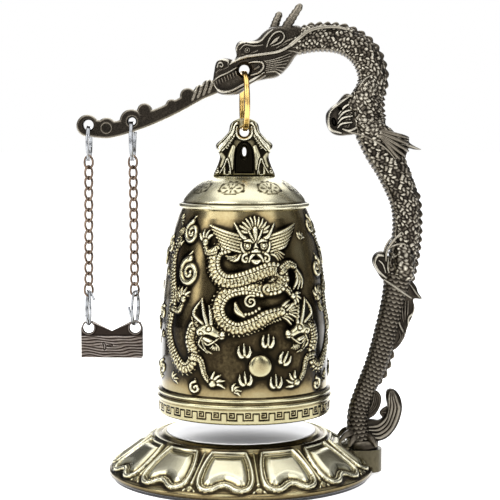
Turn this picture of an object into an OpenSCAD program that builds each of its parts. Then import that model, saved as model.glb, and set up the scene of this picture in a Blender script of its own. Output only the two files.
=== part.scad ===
// Desk temple bell: a cast dragon on a lotus base holds the bell from its jaw,
// and a staff in its mouth carries the log-shaped striker on two chains.

/* [Lotus base] */
// Outer radius of the lotus base at its rim
base_r = 39.8; // [39.2:0.1:41]
// Height of the flat top of the base above the table
base_h = 13.4; // [13:0.1:14]
// Thickness of the pad under the base
pad_t = 1; // [0.6:0.1:1.4]
// Radius of the polished disc on top of the base
disc_r = 22.4; // [20:0.1:23]
// Number of large lotus petals round the base
petal_count = 12; // [8:1:12]

/* [Bell] */
// Distance from the base's centre to the bell's axis, towards the post
bell_x = 1; // [0.6:0.1:1.4]
// Height of the bell's mouth above the table
mouth_z = 19.5; // [19:0.1:20.5]
// Outer radius of the bell at its mouth
mouth_r = 25.9; // [25.6:0.1:26.2]
// Thickness of the bell's wall at its mouth
bell_wall = 3; // [2.4:0.1:3.4]
// Height of the shoulder ring above the table
shoulder_z = 82; // [81.8:0.1:82.4]
// Height of the bell's top, where the crown stands
crown_z = 90; // [89.8:0.1:90.2]
// Height of the hole in the crown
crown_hole_z = 103.1; // [103:0.05:103.2]
// Radius of the hole in the crown
crown_hole_r = 1.4; // [1.35:0.05:1.5]

/* [Hanging ring] */
// Height of the hole in the dragon's jaw
jaw_hole_z = 121.3; // [121.2:0.05:121.4]
// Radius of the hole in the dragon's jaw
jaw_hole_r = 1.45; // [1.45:0.05:1.6]
// Radius of the wire in the bell's hanging ring
ring_wire_r = 0.55; // [0.45:0.05:0.55]

/* [Striker] */
// Height of the two chain pivots at the bottom of the upper rings
chain_top_z = 94.6; // [94:0.1:95]
// Height of the two chain pivots at the top of the lower rings
chain_low_z = 55.5; // [55:0.1:56]
// Number of links in each chain
link_count = 13; // [13:2:15]
// Radius of the wire in a chain link
link_wire_r = 0.3; // [0.25:0.01:0.3]
// Height of the two holes in the striker plate
plate_hole_z = 44.4; // [44.2:0.1:44.6]
// Radius of the two holes in the striker plate
plate_hole_r = 1.6; // [1.6:0.05:1.8]
// Thickness of the striker plate
plate_t = 2; // [1.6:0.1:2.2]

/* [Dragon] */
// Half thickness of the dragon's jaw at the hanging hole
jaw_half = 2.8; // [2.4:0.1:3]
// Half thickness of the dragon's cheeks
cheek_half = 4.2; // [3.6:0.1:4.4]
// Half thickness of the staff in the dragon's mouth
staff_half = 1.7; // [1.4:0.1:1.8]

/* [Hidden] */
$fn = 64;
eps = 0.01;

// Base: levels and the socket at the post side
ledge_z = base_h - 0.6;       // ledge that the disc lies on
disc_t = 0.8;
shell_t = 2.4;
petal_lift = 0.7;             // how far a petal stands proud of the base
pad_r = base_r - 1.2;
socket_x = 37.8;              // centre of the socket's round end
socket_r = 4.8;
socket_back = 32;
socket_z = 7.8;
foot_x = 36.8;
foot_r = 4.7;
foot_top = 10.4;
screw_x = 36.4;

// Bell: shoulder, cap and crown
shoulder_r = 18.6;
cap_wall = 2.4;
crown_foot_r = 9.4;
crown_screw_x = 5.4;          // crown screws, either side of the bell's axis

// Hanging ring: its wire passes through the jaw and the crown
ring_top_z = jaw_hole_z - 0.5;
ring_low_z = crown_hole_z + 0.45;
ring_r = (ring_top_z - ring_low_z) / 2;
ring_z = (ring_top_z + ring_low_z) / 2;
ring_turn = 0.5;              // half the distance between the ring's two turns

// Striker: staff holes, upper rings, chains, lower rings and plate
staff_hole_x = [-45.3, -32.3];
staff_hole_z = [105.1, 106.2];
staff_hole_r = [1.5, 1.1];
plate_hole_x = [-45.8, -31.8];
small_wire_r = 0.38;
small_turn = 0.33;
upper_wire_z = [104.7, 106.0];
lower_wire_z = plate_hole_z + 0.85;
lower_yaw = [12, -6];
link_end_r = 0.9;             // inner radius of the first and last link's ends
link_mid_r = 0.72;            // inner radius of the other links' ends
link_gap = 0.04;

// Trunk of the dragon from the head to the foot: x, z and radius
SPINE = [
    [16, 129.4, 3.9], [23, 130.6, 4], [30.5, 129.8, 4.2], [36.2, 126, 4.3], [38.8, 119.5, 4.2],
    [37.6, 112.5, 4.3], [37.8, 105.8, 4.8], [41, 98.5, 5], [45.4, 91, 4.9], [48.6, 82.5, 4.3],
    [49.3, 75, 4.1], [48.6, 67.5, 4.3], [47.2, 60.5, 4.3], [45.8, 53.5, 3.6], [43.8, 44.5, 3.5],
    [40.9, 34, 3.4], [37.6, 26, 3.1], [35.5, 19.5, 3.2], [35.3, 14.5, 3.4], [36, 10.4, 3.8]
];
spine_steps = 3;              // rings of the trunk between two points of the spine
trunk_sides = 16;
neck_end = 5;                 // the neck runs from point 0 to this point
torso_end = 12;               // the torso runs on to this point

bronze = [0.33, 0.29, 0.24];
brass = [0.76, 0.73, 0.52];

// ---- Helpers ----

// Catmull-Rom value between b and c, with neighbours a and d, at t from 0 to 1
function curve(a, b, c, d, t) =
    0.5 * (2 * b + (c - a) * t + (2 * a - 5 * b + 4 * c - d) * t * t
        + (3 * b - a - 3 * c + d) * t * t * t);

// Point of the spine at u, where whole numbers are the listed points
function spine_at(u) =
    let (n = len(SPINE), i = min(floor(u), n - 2), t = u - i)
    curve(SPINE[max(i - 1, 0)], SPINE[i], SPINE[i + 1], SPINE[min(i + 2, n - 1)], t);

// Direction of the spine at u in the XZ plane
function spine_way(u) =
    let (a = spine_at(max(u - 0.05, 0)), b = spine_at(min(u + 0.05, len(SPINE) - 1)),
        d = [b[0] - a[0], b[1] - a[1]])
    d / norm(d);

// Stretch of the dragon's trunk between two points of the spine
module trunk(from, to) {
    rings = (to - from) * spine_steps;
    points = [
        for (k = [0:rings], s = [0:trunk_sides - 1])
            let (u = from + k / spine_steps, p = spine_at(u), w = spine_way(u),
                a = 360 * s / trunk_sides, across = p[2] * cos(a))
            [p[0] + across * w[1], p[2] * sin(a), p[1] - across * w[0]]
    ];
    sides = [
        for (k = [0:rings - 1], s = [0:trunk_sides - 1])
            let (a = k * trunk_sides, b = a + trunk_sides, t = (s + 1) % trunk_sides)
            [a + s, b + s, b + t, a + t]
    ];
    first = [for (s = [0:trunk_sides - 1]) s];
    last = [for (s = [trunk_sides - 1:-1:0]) rings * trunk_sides + s];
    polyhedron(points = points, faces = concat([first, last], sides));
}

// Plate of a drawn outline in the XZ plane, centred on y = 0
module slab(half) {
    rotate([90, 0, 0]) translate([0, 0, -half]) linear_extrude(2 * half) children();
}

// Straight round bar between two points of the XZ plane, at one value of y
module bar(from, to, y, r1, r2) {
    d = to - from;
    translate([from[0], y, from[1]])
        rotate([0, atan2(d[0], d[1]), 0]) cylinder(h = norm(d), r1 = r1, r2 = r2);
}

// Hole along Y through a wall of the given half thickness, widened at both faces
module eye(x, z, r, land, half, mouth) {
    translate([x, 0, z]) rotate([90, 0, 0]) {
        cylinder(h = 2 * half + 2, r = r, center = true);
        for (side = [0, 1]) mirror([0, 0, side])
            translate([0, 0, land]) cylinder(h = half - land + eps, r1 = r, r2 = mouth);
    }
}

// Ring of two turns that lies across the X axis
module split_ring(r, wire, turn) {
    rotate([0, 90, 0]) for (side = [-1, 1])
        translate([0, 0, side * turn]) rotate_extrude() translate([r, 0]) circle(wire, $fn = 24);
}

// ---- Base ----

function base_outline(lift) = [
    [base_r - 0.4, 2.9 + lift * 0.6], [base_r - 3.4, 5.1 + lift], [base_r - 6.8, 7.5 + lift],
    [base_r - 10.3, 10 + lift], [base_r - 13.4, 11.9 + lift]
];

module base_body() {
    rotate_extrude($fn = 128) polygon(concat(
        [[0, ledge_z - shell_t], [23, ledge_z - shell_t], [base_r - 11.6, 7.9], [base_r - 8, 5.4],
            [base_r - 4.6, 2.9], [base_r - 2.4, pad_t]],
        [[base_r, pad_t], [base_r, 2.5]],
        base_outline(0),
        [[base_r - 13.7, 12.6], [base_r - 14.5, 12.7], [base_r - 15.4, 12.5],
            [disc_r + 1, base_h - 0.1], [disc_r + 0.4, base_h], [disc_r, base_h],
            [disc_r, ledge_z], [0, ledge_z]]
    ));
}

// One petal seen from above, with its tip at the rim
module petal_outline() {
    half = [[base_r - 12, 6.5], [base_r - 9, 10.6], [base_r - 6, 12.4], [base_r - 4.2, 11.6],
        [base_r - 3.2, 7.6], [base_r - 3.4, 3.4], [base_r - 2, 0]];
    n = len(half);
    function spot(p, side) = [p[0] * cos(side * p[1]), p[0] * sin(side * p[1])];
    polygon(concat([for (p = half) spot(p, 1)], [for (k = [n - 2:-1:0]) spot(half[k], -1)]));
}

module petals() {
    intersection() {
        rotate_extrude($fn = 128) polygon(concat(
            [[base_r - 13.4, 9], [base_r - 0.4, 2]], base_outline(petal_lift)));
        union() for (k = [0:petal_count - 1]) rotate([0, 0, (k + 0.5) * 360 / petal_count])
            linear_extrude(base_h) petal_outline();
    }
}

// Footprint of the post's socket and of the dragon's foot
module socket_outline() {
    translate([socket_back, -socket_r]) square([socket_x - socket_back, 2 * socket_r]);
    translate([socket_x, 0]) circle(socket_r);
}

module lotus_base() {
    color(brass) difference() {
        union() {
            base_body();
            petals();
        }
        linear_extrude(base_h + 1) socket_outline();
    }
}

module top_disc() {
    color([0.88, 0.88, 0.9]) translate([0, 0, ledge_z]) cylinder(h = disc_t, r = disc_r, $fn = 128);
}

module felt_pad() {
    color([0.16, 0.16, 0.17]) cylinder(h = pad_t, r = pad_r, $fn = 128);
}

module post_socket() {
    color(bronze) difference() {
        translate([0, 0, pad_t]) linear_extrude(socket_z - pad_t) socket_outline();
        translate([screw_x, 0, 0]) {
            cylinder(h = 3.6, r = 3.5);
            cylinder(h = socket_z + 1, r = 1.55);
        }
    }
}

module post_screw() {
    color([0.7, 0.7, 0.72]) translate([screw_x, 0, 0]) difference() {
        union() {
            translate([0, 0, 1.2]) cylinder(h = 2, r = 2.75);
            translate([0, 0, 3.2]) cylinder(h = 10.2, r = 1.5);
        }
        for (turn = [0, 90]) rotate([0, 0, turn]) translate([-1.5, -0.3, 1]) cube([3, 0.6, 1.3]);
    }
}

module post_washer() {
    color([0.7, 0.7, 0.72]) translate([screw_x, 0, 3.2]) difference() {
        cylinder(h = 0.4, r = 3.3);
        translate([0, 0, -1]) cylinder(h = 3, r = 1.6);
    }
}

// ---- Dragon ----

module dragon_foot_trunk() {
    color(bronze) difference() {
        union() {
            trunk(torso_end, len(SPINE) - 1);
            translate([foot_x, 0, socket_z]) cylinder(h = foot_top - socket_z, r = foot_r);
        }
        translate([screw_x, 0, 0]) cylinder(h = 13.5, r = 1.52);
    }
}

module dragon_torso() {
    color(bronze) trunk(neck_end, torso_end);
}

module dragon_neck() {
    color(bronze) trunk(0, neck_end);
}

module head_outline() {
    polygon([[-4, 113.9], [-7, 114.6], [-8.4, 116.6], [-8.2, 119], [-7.9, 121], [-6.6, 123.1],
        [-4.8, 124.4], [-3, 123.9], [-1.4, 125.1], [-1.6, 128], [-0.4, 129.8], [3, 129.9],
        [5, 130.7], [6.9, 132.6], [9, 133.8], [13, 134.2], [17.5, 133.1], [17.5, 125.6],
        [16, 124.8], [13.8, 121.8], [10.7, 119.2], [6.8, 118.5], [4.2, 117.8], [2.1, 116.4], [-0.4, 114.4]]);
}

module cheek_outline() {
    polygon([[4.6, 119.6], [4.4, 124], [0, 124.8], [-0.2, 128.4], [3.4, 128.9], [7.8, 131.6],
        [13, 133], [17.5, 132.2], [17.5, 126.2], [12.8, 122.4], [9, 120.2]]);
}

// Everything on the neck's side of the plane in which the neck starts
module neck_side() {
    way = spine_way(0);
    translate([SPINE[0][0], 0, SPINE[0][1]]) rotate([0, -atan2(way[1], way[0]), 0])
        translate([0, -10, -20]) cube([20, 20, 40]);
}

module head_body() {
    difference() {
        union() {
            slab(jaw_half) head_outline();
            slab(cheek_half) cheek_outline();
        }
        neck_side();
    }
}

module dragon_head() {
    color(bronze) difference() {
        head_body();
        eye(bell_x, jaw_hole_z, jaw_hole_r, 0.9, jaw_half, jaw_hole_r + 0.9);
    }
}

module dragon_horns() {
    color(bronze) difference() {
        union() {
            bar([9.6, 132.4], [11.3, 139.2], 2.2, 1.5, 0.9);
            bar([13, 132], [17.7, 141], -2.2, 1.5, 0.9);
        }
        head_body();
    }
}

module dragon_foreleg() {
    color(bronze) difference() {
        slab(3) polygon([[31, 114.6], [34.5, 112.8], [38, 108], [36, 103], [31.8, 101.6],
            [29.5, 102], [27, 102.6], [25.5, 105], [25.3, 108.3], [28, 111.8]]);
        trunk(neck_end - 2, neck_end + 4);
    }
}

module dragon_elbow_fin() {
    color(bronze) difference() {
        slab(1.2) polygon([[43, 100], [45.8, 102], [49.9, 101.4], [50.1, 99.8], [53.6, 97.8],
            [49.9, 98.2], [48.9, 95.9], [48.1, 94.3], [44, 95]]);
        trunk(neck_end, torso_end);
    }
}

module dragon_hind_leg() {
    color(bronze) difference() {
        slab(2.6) polygon([[39.3, 65.6], [40.5, 67.2], [43, 67.2], [47, 63], [46, 58.4],
            [42.4, 59], [40, 62.3]]);
        trunk(torso_end - 3, torso_end + 2);
    }
}

module dragon_hip_fin() {
    color(bronze) difference() {
        slab(1.3) polygon([[46, 62], [52.6, 58], [54.2, 53.4], [51.8, 53.2], [51.4, 48.5],
            [49.8, 44.3], [48.2, 42], [46, 37.8], [42, 40]]);
        trunk(torso_end - 3, torso_end + 5);
    }
}

module dragon_tail() {
    color(bronze) difference() {
        slab(2) polygon([[37, 10.8], [41.4, 9.8], [44.6, 11.2], [47.4, 15.1], [48.5, 19.5],
            [48.1, 23.3], [46.5, 25.4], [44.2, 25], [43.7, 19.4], [42.1, 16.6], [37, 15.8]]);
        trunk(torso_end + 3, len(SPINE) - 1);
        translate([foot_x, 0, socket_z]) cylinder(h = foot_top - socket_z, r = foot_r);
    }
}

// ---- Staff ----

module staff_outline() {
    polygon([[-46.6, 102.3], [-44.8, 101.5], [-40.2, 101.1], [-36.4, 101.7], [-32.6, 102.9],
        [-27.8, 104.3], [-22.2, 106.8], [-16.8, 109.5], [-11.2, 112.6], [-7, 114.9], [-7, 118.8],
        [-12.6, 115.8], [-18, 113.1], [-24, 110.4], [-28, 109], [-33, 107.4], [-38, 106.2],
        [-43.6, 106.4]]);
    // knobs along the top edge: x, z and radius
    for (k = [[-45.6, 104.9, 3.3], [-39.9, 104.2, 2.9], [-32.6, 106.4, 3.4], [-28.6, 109.4, 2.2],
        [-20.6, 111.1, 1.7], [-15.8, 113.8, 2.3], [-11.8, 115, 2.1], [-9.4, 116.4, 2.2]])
        translate([k[0], k[1]]) circle(k[2], $fn = 48);
}

module mouth_staff() {
    color(bronze) difference() {
        union() {
            slab(staff_half) staff_outline();
            translate([-39.9, 0, 104.2]) rotate([90, 0, 0])
                cylinder(h = 2 * staff_half + 0.6, r = 1.7, center = true);
        }
        for (k = [0, 1])
            eye(staff_hole_x[k], staff_hole_z[k], staff_hole_r[k], 0.8, staff_half,
                staff_hole_r[k] + 0.5);
        head_body();
    }
}

// ---- Bell ----

module bell_ring() {
    color([0.85, 0.66, 0.3]) translate([bell_x, 0, ring_z]) split_ring(ring_r, ring_wire_r, ring_turn);
}

// Half outline of the crown: distance from the bell's axis and height
CROWN = [[9.2, 90], [9, 90.9], [8, 93.1], [7.3, 95.4], [7.7, 97], [8.4, 98.6], [8.1, 99.7],
    [6.4, 101.2], [4.7, 103], [4.2, 105.1], [3.2, 106.3], [1.6, 107.1]];

module crown_outline() {
    n = len(CROWN);
    polygon(concat([for (p = CROWN) p], [for (k = [n - 1:-1:0]) [-CROWN[k][0], CROWN[k][1]]]));
}

// Pointed arch hollowed from the front and the back of the crown
module arch_outline() {
    translate([-2.8, crown_z + 0.9]) square([5.6, 6.2]);
    translate([0, crown_z + 7.1]) circle(2.8);
}

module bell_crown() {
    color(brass) translate([bell_x, 0, 0]) difference() {
        intersection() {
            slab(4.4) crown_outline();
            rotate([90, 0, 90]) translate([0, 0, -10]) linear_extrude(20)
                polygon([[-4.2, crown_z], [4.2, crown_z], [3.4, 97], [2, 101.4], [1.9, 107.2],
                    [-1.9, 107.2], [-2, 101.4], [-3.4, 97]]);
        }
        for (side = [-1, 1]) translate([0, side * 3.1, 0]) slab(2.5) arch_outline();
        translate([0, 0, 97]) rotate([90, 0, 0]) cylinder(h = 10, r = 0.5, center = true);
        eye(0, crown_hole_z, crown_hole_r, 1.2, 2, crown_hole_r + 0.5);
        for (side = [-1, 1]) translate([side * crown_screw_x, 0, crown_z - 1])
            cylinder(h = 5.2, r = 1.02);
    }
}

module bell_cap() {
    color(brass) translate([bell_x, 0, 0]) difference() {
        rotate_extrude($fn = 128) polygon([
            [0, crown_z - cap_wall], [9, crown_z - cap_wall - 0.2], [12, 86], [14.4, 84],
            [15.8, shoulder_z], [shoulder_r, shoulder_z], [18.2, 83], [17, 84.4], [15, 86.5],
            [12.5, 88.4], [crown_foot_r, crown_z - 0.2], [crown_foot_r - 0.2, crown_z], [0, crown_z]]);
        for (side = [-1, 1]) translate([side * crown_screw_x, 0, crown_z - 4])
            cylinder(h = 6, r = 1.1);
    }
}

module bell_barrel() {
    inner_r = mouth_r - bell_wall;
    color(brass) translate([bell_x, 0, 0]) rotate_extrude($fn = 128) {
        polygon([
            [inner_r, mouth_z], [mouth_r - 0.9, mouth_z], [mouth_r, mouth_z + 0.5],
            [mouth_r, 24], [mouth_r + 0.3, 24.4], [mouth_r + 0.3, 25.1], [mouth_r - 0.3, 25.4],
            [mouth_r - 0.3, 25.9], [mouth_r + 0.2, 26.2], [mouth_r + 0.2, 26.9],
            [mouth_r - 0.2, 27.3], [mouth_r - 0.2, 34], [25.5, 46.5], [25, 54], [24.3, 60],
            [23.1, 67.4], [21.6, 74.3], [20.3, 78.2], [19, 81], [shoulder_r, shoulder_z],
            [15.8, shoulder_z], [17, 79], [18.9, 74.3], [20.6, 67.4], [22, 56], [inner_r, 46]]);
        translate([18.7, 81.3]) circle(0.7, $fn = 32);
    }
}

module crown_screws() {
    under = crown_z - cap_wall - 0.3;
    color([0.7, 0.7, 0.72]) for (side = [-1, 1])
        translate([bell_x + side * crown_screw_x, 0, 0]) difference() {
            union() {
                translate([0, 0, under - 1.4]) cylinder(h = 1.4, r = 1.9);
                translate([0, 0, under]) cylinder(h = 6.6, r = 1);
            }
            translate([-2, -0.25, under - 1.5]) cube([4, 0.5, 0.6]);
        }
}

// ---- Striker ----

module top_ring(k) {
    low = chain_top_z;
    high = upper_wire_z[k];
    color([0.75, 0.76, 0.78]) translate([staff_hole_x[k], 0, (high + low) / 2])
        split_ring((high - low) / 2, small_wire_r, small_turn);
}

module low_ring(k) {
    color([0.75, 0.76, 0.78]) translate([plate_hole_x[k], 0, (chain_low_z + lower_wire_z) / 2])
        rotate([0, 0, lower_yaw[k]])
            split_ring((chain_low_z - lower_wire_z) / 2, small_wire_r, small_turn);
}

// Link of a chain in the XZ plane, centred on the origin, with inner length and end radius
module link(inner, end_r) {
    straight = inner / 2 - end_r;
    r = end_r + link_wire_r;
    for (side = [0, 1]) mirror([0, 0, side]) translate([0, 0, straight]) rotate([90, 0, 0])
        rotate_extrude(angle = 180) translate([r, 0]) circle(link_wire_r, $fn = 20);
    for (side = [-1, 1]) translate([side * r, 0, 0])
        cylinder(h = 2 * straight, r = link_wire_r, center = true, $fn = 20);
}

// Chain between an upper and a lower pivot, with every other link turned edge on
module chain(k) {
    lean = atan2(plate_hole_x[k] - staff_hole_x[k], chain_top_z - chain_low_z);
    reach = norm([plate_hole_x[k] - staff_hole_x[k], chain_top_z - chain_low_z]);
    pitch = (reach + 2 * link_end_r) / link_count;
    color([0.62, 0.48, 0.38]) translate([staff_hole_x[k], 0, chain_top_z]) rotate([0, -lean, 0])
        for (i = [0:link_count - 1]) {
            last = i == 0 || i == link_count - 1;
            translate([0, 0, link_end_r - (i + 0.5) * pitch]) rotate([0, 0, 90 * (i % 2)])
                link(pitch + (last ? 0 : link_gap), last ? link_end_r : link_mid_r);
        }
}

module outer_top_ring() { top_ring(0); }
module inner_top_ring() { top_ring(1); }
module outer_chain() { chain(0); }
module inner_chain() { chain(1); }
module outer_low_ring() { low_ring(0); }
module inner_low_ring() { low_ring(1); }

module striker_plate() {
    left = plate_hole_x[0] - 2.2;
    right = plate_hole_x[1] + 2.3;
    low = 35.2;
    color([0.45, 0.39, 0.35]) difference() {
        slab(plate_t / 2) {
            difference() {
                translate([left, low]) square([right - left, plate_hole_z - low]);
                polygon([[plate_hole_x[0] + 2, plate_hole_z + 1], [-38.8, 43.4],
                    [plate_hole_x[1] - 2, plate_hole_z + 1]]);
            }
            for (x = plate_hole_x) translate([x, plate_hole_z]) circle(2.3);
        }
        for (x = plate_hole_x) translate([x, 0, plate_hole_z]) rotate([90, 0, 0])
            cylinder(h = plate_t + 2, r = plate_hole_r, center = true);
    }
}

lotus_base();
top_disc();
felt_pad();
post_socket();
post_screw();
post_washer();
dragon_foot_trunk();
dragon_torso();
dragon_neck();
dragon_head();
dragon_horns();
dragon_foreleg();
dragon_elbow_fin();
dragon_hind_leg();
dragon_hip_fin();
dragon_tail();
mouth_staff();
bell_ring();
bell_crown();
bell_cap();
bell_barrel();
crown_screws();
outer_top_ring();
inner_top_ring();
outer_chain();
inner_chain();
outer_low_ring();
inner_low_ring();
striker_plate();
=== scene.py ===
"""Looks of the desk temple bell: reliefs, castings, rings, chains, materials, light and camera.

Lengths here are millimetres in the frame of the CAD model, and MM turns them into Blender's metres.
"""
import math

import bpy
import numpy as np
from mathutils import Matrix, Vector


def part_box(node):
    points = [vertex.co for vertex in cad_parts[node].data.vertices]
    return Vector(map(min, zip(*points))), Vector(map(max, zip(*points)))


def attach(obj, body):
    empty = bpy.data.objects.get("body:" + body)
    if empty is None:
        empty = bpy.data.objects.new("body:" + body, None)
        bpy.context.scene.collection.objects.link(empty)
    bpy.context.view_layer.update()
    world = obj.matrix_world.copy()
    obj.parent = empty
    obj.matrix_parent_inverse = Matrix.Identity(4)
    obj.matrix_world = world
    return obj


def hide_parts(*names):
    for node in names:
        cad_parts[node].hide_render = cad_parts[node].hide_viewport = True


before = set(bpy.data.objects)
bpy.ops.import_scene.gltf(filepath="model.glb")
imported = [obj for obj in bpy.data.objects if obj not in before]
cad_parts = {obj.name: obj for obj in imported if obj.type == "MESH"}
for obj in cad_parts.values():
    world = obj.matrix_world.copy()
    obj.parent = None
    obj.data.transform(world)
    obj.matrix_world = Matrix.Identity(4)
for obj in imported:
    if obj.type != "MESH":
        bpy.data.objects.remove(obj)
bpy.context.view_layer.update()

MM = 0.001
TURN = 2 * math.pi
TINY = 1e-9


def box_mm(node):
    """Lowest and highest corner of a CAD node in millimetres."""
    low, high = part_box(node)
    return np.array(low) / MM, np.array(high) / MM


def new_object(name, data):
    made = bpy.data.objects.new(name, data)
    bpy.context.scene.collection.objects.link(made)
    return made


class Graph:
    """Node tree with short ways to add to it."""

    def __init__(self, tree):
        self.nodes = tree.nodes
        self.links = tree.links

    def fill(self, node, values):
        """Sets inputs of a node: an output of another node is linked, anything else is a value."""
        for socket, value in values.items():
            if isinstance(value, bpy.types.NodeSocket):
                self.links.new(value, node.inputs[socket])
            else:
                node.inputs[socket].default_value = value

    def add(self, kind, values, **options):
        node = self.nodes.new("ShaderNode" + kind)
        for option, value in options.items():
            setattr(node, option, value)
        self.fill(node, values)
        return node

    def noise(self, place, scale, detail):
        return self.add("TexNoise", {"Scale": scale, "Detail": detail, "Vector": place}).outputs["Fac"]

    def ramp(self, level, stops):
        """Colour that follows a level, from stops of place and colour."""
        node = self.add("ValToRGB", {"Fac": level})
        elements = node.color_ramp.elements
        while len(elements) < len(stops):
            elements.new(0.5)
        for element, (place, colour) in zip(elements, stops):
            element.position = place
            element.color = (*colour, 1)
        return node.outputs["Color"]

    def bump(self, height, strength, distance):
        values = {"Strength": strength, "Distance": distance, "Height": height}
        return self.add("Bump", values).outputs["Normal"]


def new_material(name, values):
    """Material, its node graph and its shader."""
    material = bpy.data.materials.new(name)
    material.use_nodes = True
    graph = Graph(material.node_tree)
    shader = graph.nodes["Principled BSDF"]
    graph.fill(shader, values)
    return material, graph, shader


# ---------------------------------------------------------------- camera and stage

CAMERA_PLACE = (2.7, -450.0, 104.0)
CAMERA_PITCH = 4.6              # degrees downwards
CAMERA_LENS = 108.5
SENSOR_WIDTH = 36
LIGHTS_AIM = (0, 0, 70)
ROOM_STRENGTH = 0.62
ROOM_COLOURS = [(0.0, (0.34, 0.34, 0.35)), (0.3, (0.62, 0.63, 0.66)), (0.9, (1, 1, 1))]
FLOOR_METRES = 12.0
FLOOR_GLOW = 0.78
# dark flags stand round the object and put dark bands into the metal: their distance, height and
# middle, then for each its azimuth from the front towards +X, in degrees, and its width
FLAG_R, FLAG_HEIGHT, FLAG_Z = 420, 420, 130
FLAGS = [(-12, 130), (26, 110), (-58, 120), (66, 150), (-100, 140), (110, 160), (150, 150), (-150, 150)]
# name, place, size and power of each light
LIGHTS = [
    ("key", (-300, -330, 380), (380, 380), 1.5),
    ("fill", (340, -330, 300), (240, 400), 0.8),
    ("strip_left", (-330, -120, 160), (60, 320), 0.3),
    ("strip_front", (40, -430, 250), (60, 260), 0.22),
    ("top", (0, 20, 480), (520, 420), 1.15),
    ("back", (60, 400, 320), (420, 340), 1.0),
    ("low_back", (0, 380, 55), (640, 110), 0.36),
    ("low_front", (0, -430, 60), (420, 120), 0.22)]


def make_camera():
    data = bpy.data.cameras.new("camera")
    data.lens = CAMERA_LENS
    data.sensor_width = SENSOR_WIDTH
    camera = new_object("camera", data)
    camera.location = [v * MM for v in CAMERA_PLACE]
    camera.rotation_euler = (math.radians(90 - CAMERA_PITCH), 0, 0)
    bpy.context.scene.camera = camera


def area_light(name, place, size, power):
    data = bpy.data.lights.new(name, "AREA")
    data.shape = "RECTANGLE"
    data.size = size[0] * MM
    data.size_y = size[1] * MM
    data.energy = power
    light = new_object(name, data)
    light.location = [v * MM for v in place]
    way = Vector([b - a for a, b in zip(place, LIGHTS_AIM)])
    light.rotation_euler = way.to_track_quat("-Z", "Y").to_euler()
    light.visible_camera = False


def make_world():
    """White behind the object, and a dimmer room for the metal to reflect, brighter overhead."""
    world = bpy.data.worlds.new("studio")
    world.use_nodes = True
    bpy.context.scene.world = world
    graph = Graph(world.node_tree)
    room = graph.nodes["Background"]
    place = graph.add("TexCoord", {}).outputs["Generated"]
    up = graph.add("SeparateXYZ", {0: place}).outputs["Z"]
    graph.fill(room, {"Strength": ROOM_STRENGTH, "Color": graph.ramp(up, ROOM_COLOURS)})
    white = graph.add("Background", {"Color": (1, 1, 1, 1)})
    seen = graph.add("LightPath", {}).outputs["Is Camera Ray"]
    mix = graph.add("MixShader", {"Fac": seen, 1: room.outputs[0], 2: white.outputs[0]})
    graph.fill(graph.nodes["World Output"], {"Surface": mix.outputs[0]})


def stage_plane(name, size, material):
    bpy.ops.mesh.primitive_plane_add(size=size)
    plane = bpy.context.object
    plane.name = name
    plane.data.materials.append(material)
    return plane


def make_stage():
    bpy.context.scene.view_settings.view_transform = "Standard"
    make_world()
    white = {"Base Color": (0.96, 0.96, 0.96, 1), "Roughness": 0.9, "Specular IOR Level": 0.1,
             "Emission Color": (1, 1, 1, 1), "Emission Strength": FLOOR_GLOW}
    floor = stage_plane("floor", FLOOR_METRES, new_material("floor", white)[0])
    black = {"Base Color": (0.012, 0.011, 0.01, 1), "Roughness": 1.0}
    flag_material = new_material("flag", black)[0]
    for k, (azimuth, width) in enumerate(FLAGS):
        turn = math.radians(azimuth)
        flag = stage_plane(f"flag_{k}", 1.0, flag_material)
        flag.location = (FLAG_R * MM * math.sin(turn), -FLAG_R * MM * math.cos(turn), FLAG_Z * MM)
        flag.scale = (width * MM, FLAG_HEIGHT * MM, 1)
        flag.rotation_euler = (math.pi / 2, 0, turn)
        flag.visible_camera = False
        flag.visible_diffuse = False
        flag.visible_shadow = False
    for light in LIGHTS:
        area_light(*light)


# ---------------------------------------------------------------- curves and fields

def smooth_line(points, per=8, closed=False):
    """Catmull-Rom line through the points. Further columns, such as a width, are carried along."""
    p = np.array(points, float)
    p = np.vstack([p[-1], p, p[0], p[1]]) if closed else np.vstack([p[0], p, p[-1]])
    t = (np.arange(per) / per)[:, None]
    parts = [0.5 * (2 * b + (c - a) * t + (2 * a - 5 * b + 4 * c - d) * t ** 2 + (3 * b - a - 3 * c + d)
                    * t ** 3) for a, b, c, d in zip(p[:-3], p[1:-2], p[2:-1], p[3:]) ]
    return np.vstack(parts if closed else parts + [p[-1:]])


def with_share(points):
    """Points as rows of a, b and a share of the width, which is 1 where a point doesn't say."""
    return np.array([(*point, 1.0)[:3] for point in points], float)


def lengths(line):
    """Length along a line at each of its points."""
    return np.r_[0, np.cumsum(np.linalg.norm(np.diff(line, axis=0), axis=1))]


def full_turn(count):
    """Angles of even steps round a circle."""
    return np.arange(count) / count * TURN


def unit(rows):
    return rows / np.linalg.norm(rows, axis=-1, keepdims=True)


def step_up(x, low, high):
    t = np.clip((x - low) / (high - low), 0, 1)
    return t * t * (3 - 2 * t)


def ridge(away, half):
    """Cross-section of a rounded ridge, from 1 on its middle line to 0 at its edges."""
    return np.clip(1 - (away / half) ** 2, 0, 1)


def from_segment(a, b, start, way):
    """Share along a segment of the point nearest to a, b, and the offsets from it."""
    share = np.clip(((a - start[0]) * way[0] + (b - start[1]) * way[1]) / max(way @ way, TINY ** 2), 0, 1)
    return share, a - start[0] - share * way[0], b - start[1] - share * way[1]


def blur(field, cells):
    """Box blur, twice."""
    for _ in range(2):
        for axis in (0, 1):
            pad = [(0, 0), (0, 0)]
            pad[axis] = (cells + 1, cells)
            total = np.cumsum(np.pad(field, pad, mode="edge"), axis)
            high = np.take(total, range(2 * cells + 1, total.shape[axis]), axis)
            low = np.take(total, range(0, total.shape[axis] - 2 * cells - 1), axis)
            field = (high - low) / (2 * cells + 1)
    return field


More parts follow.
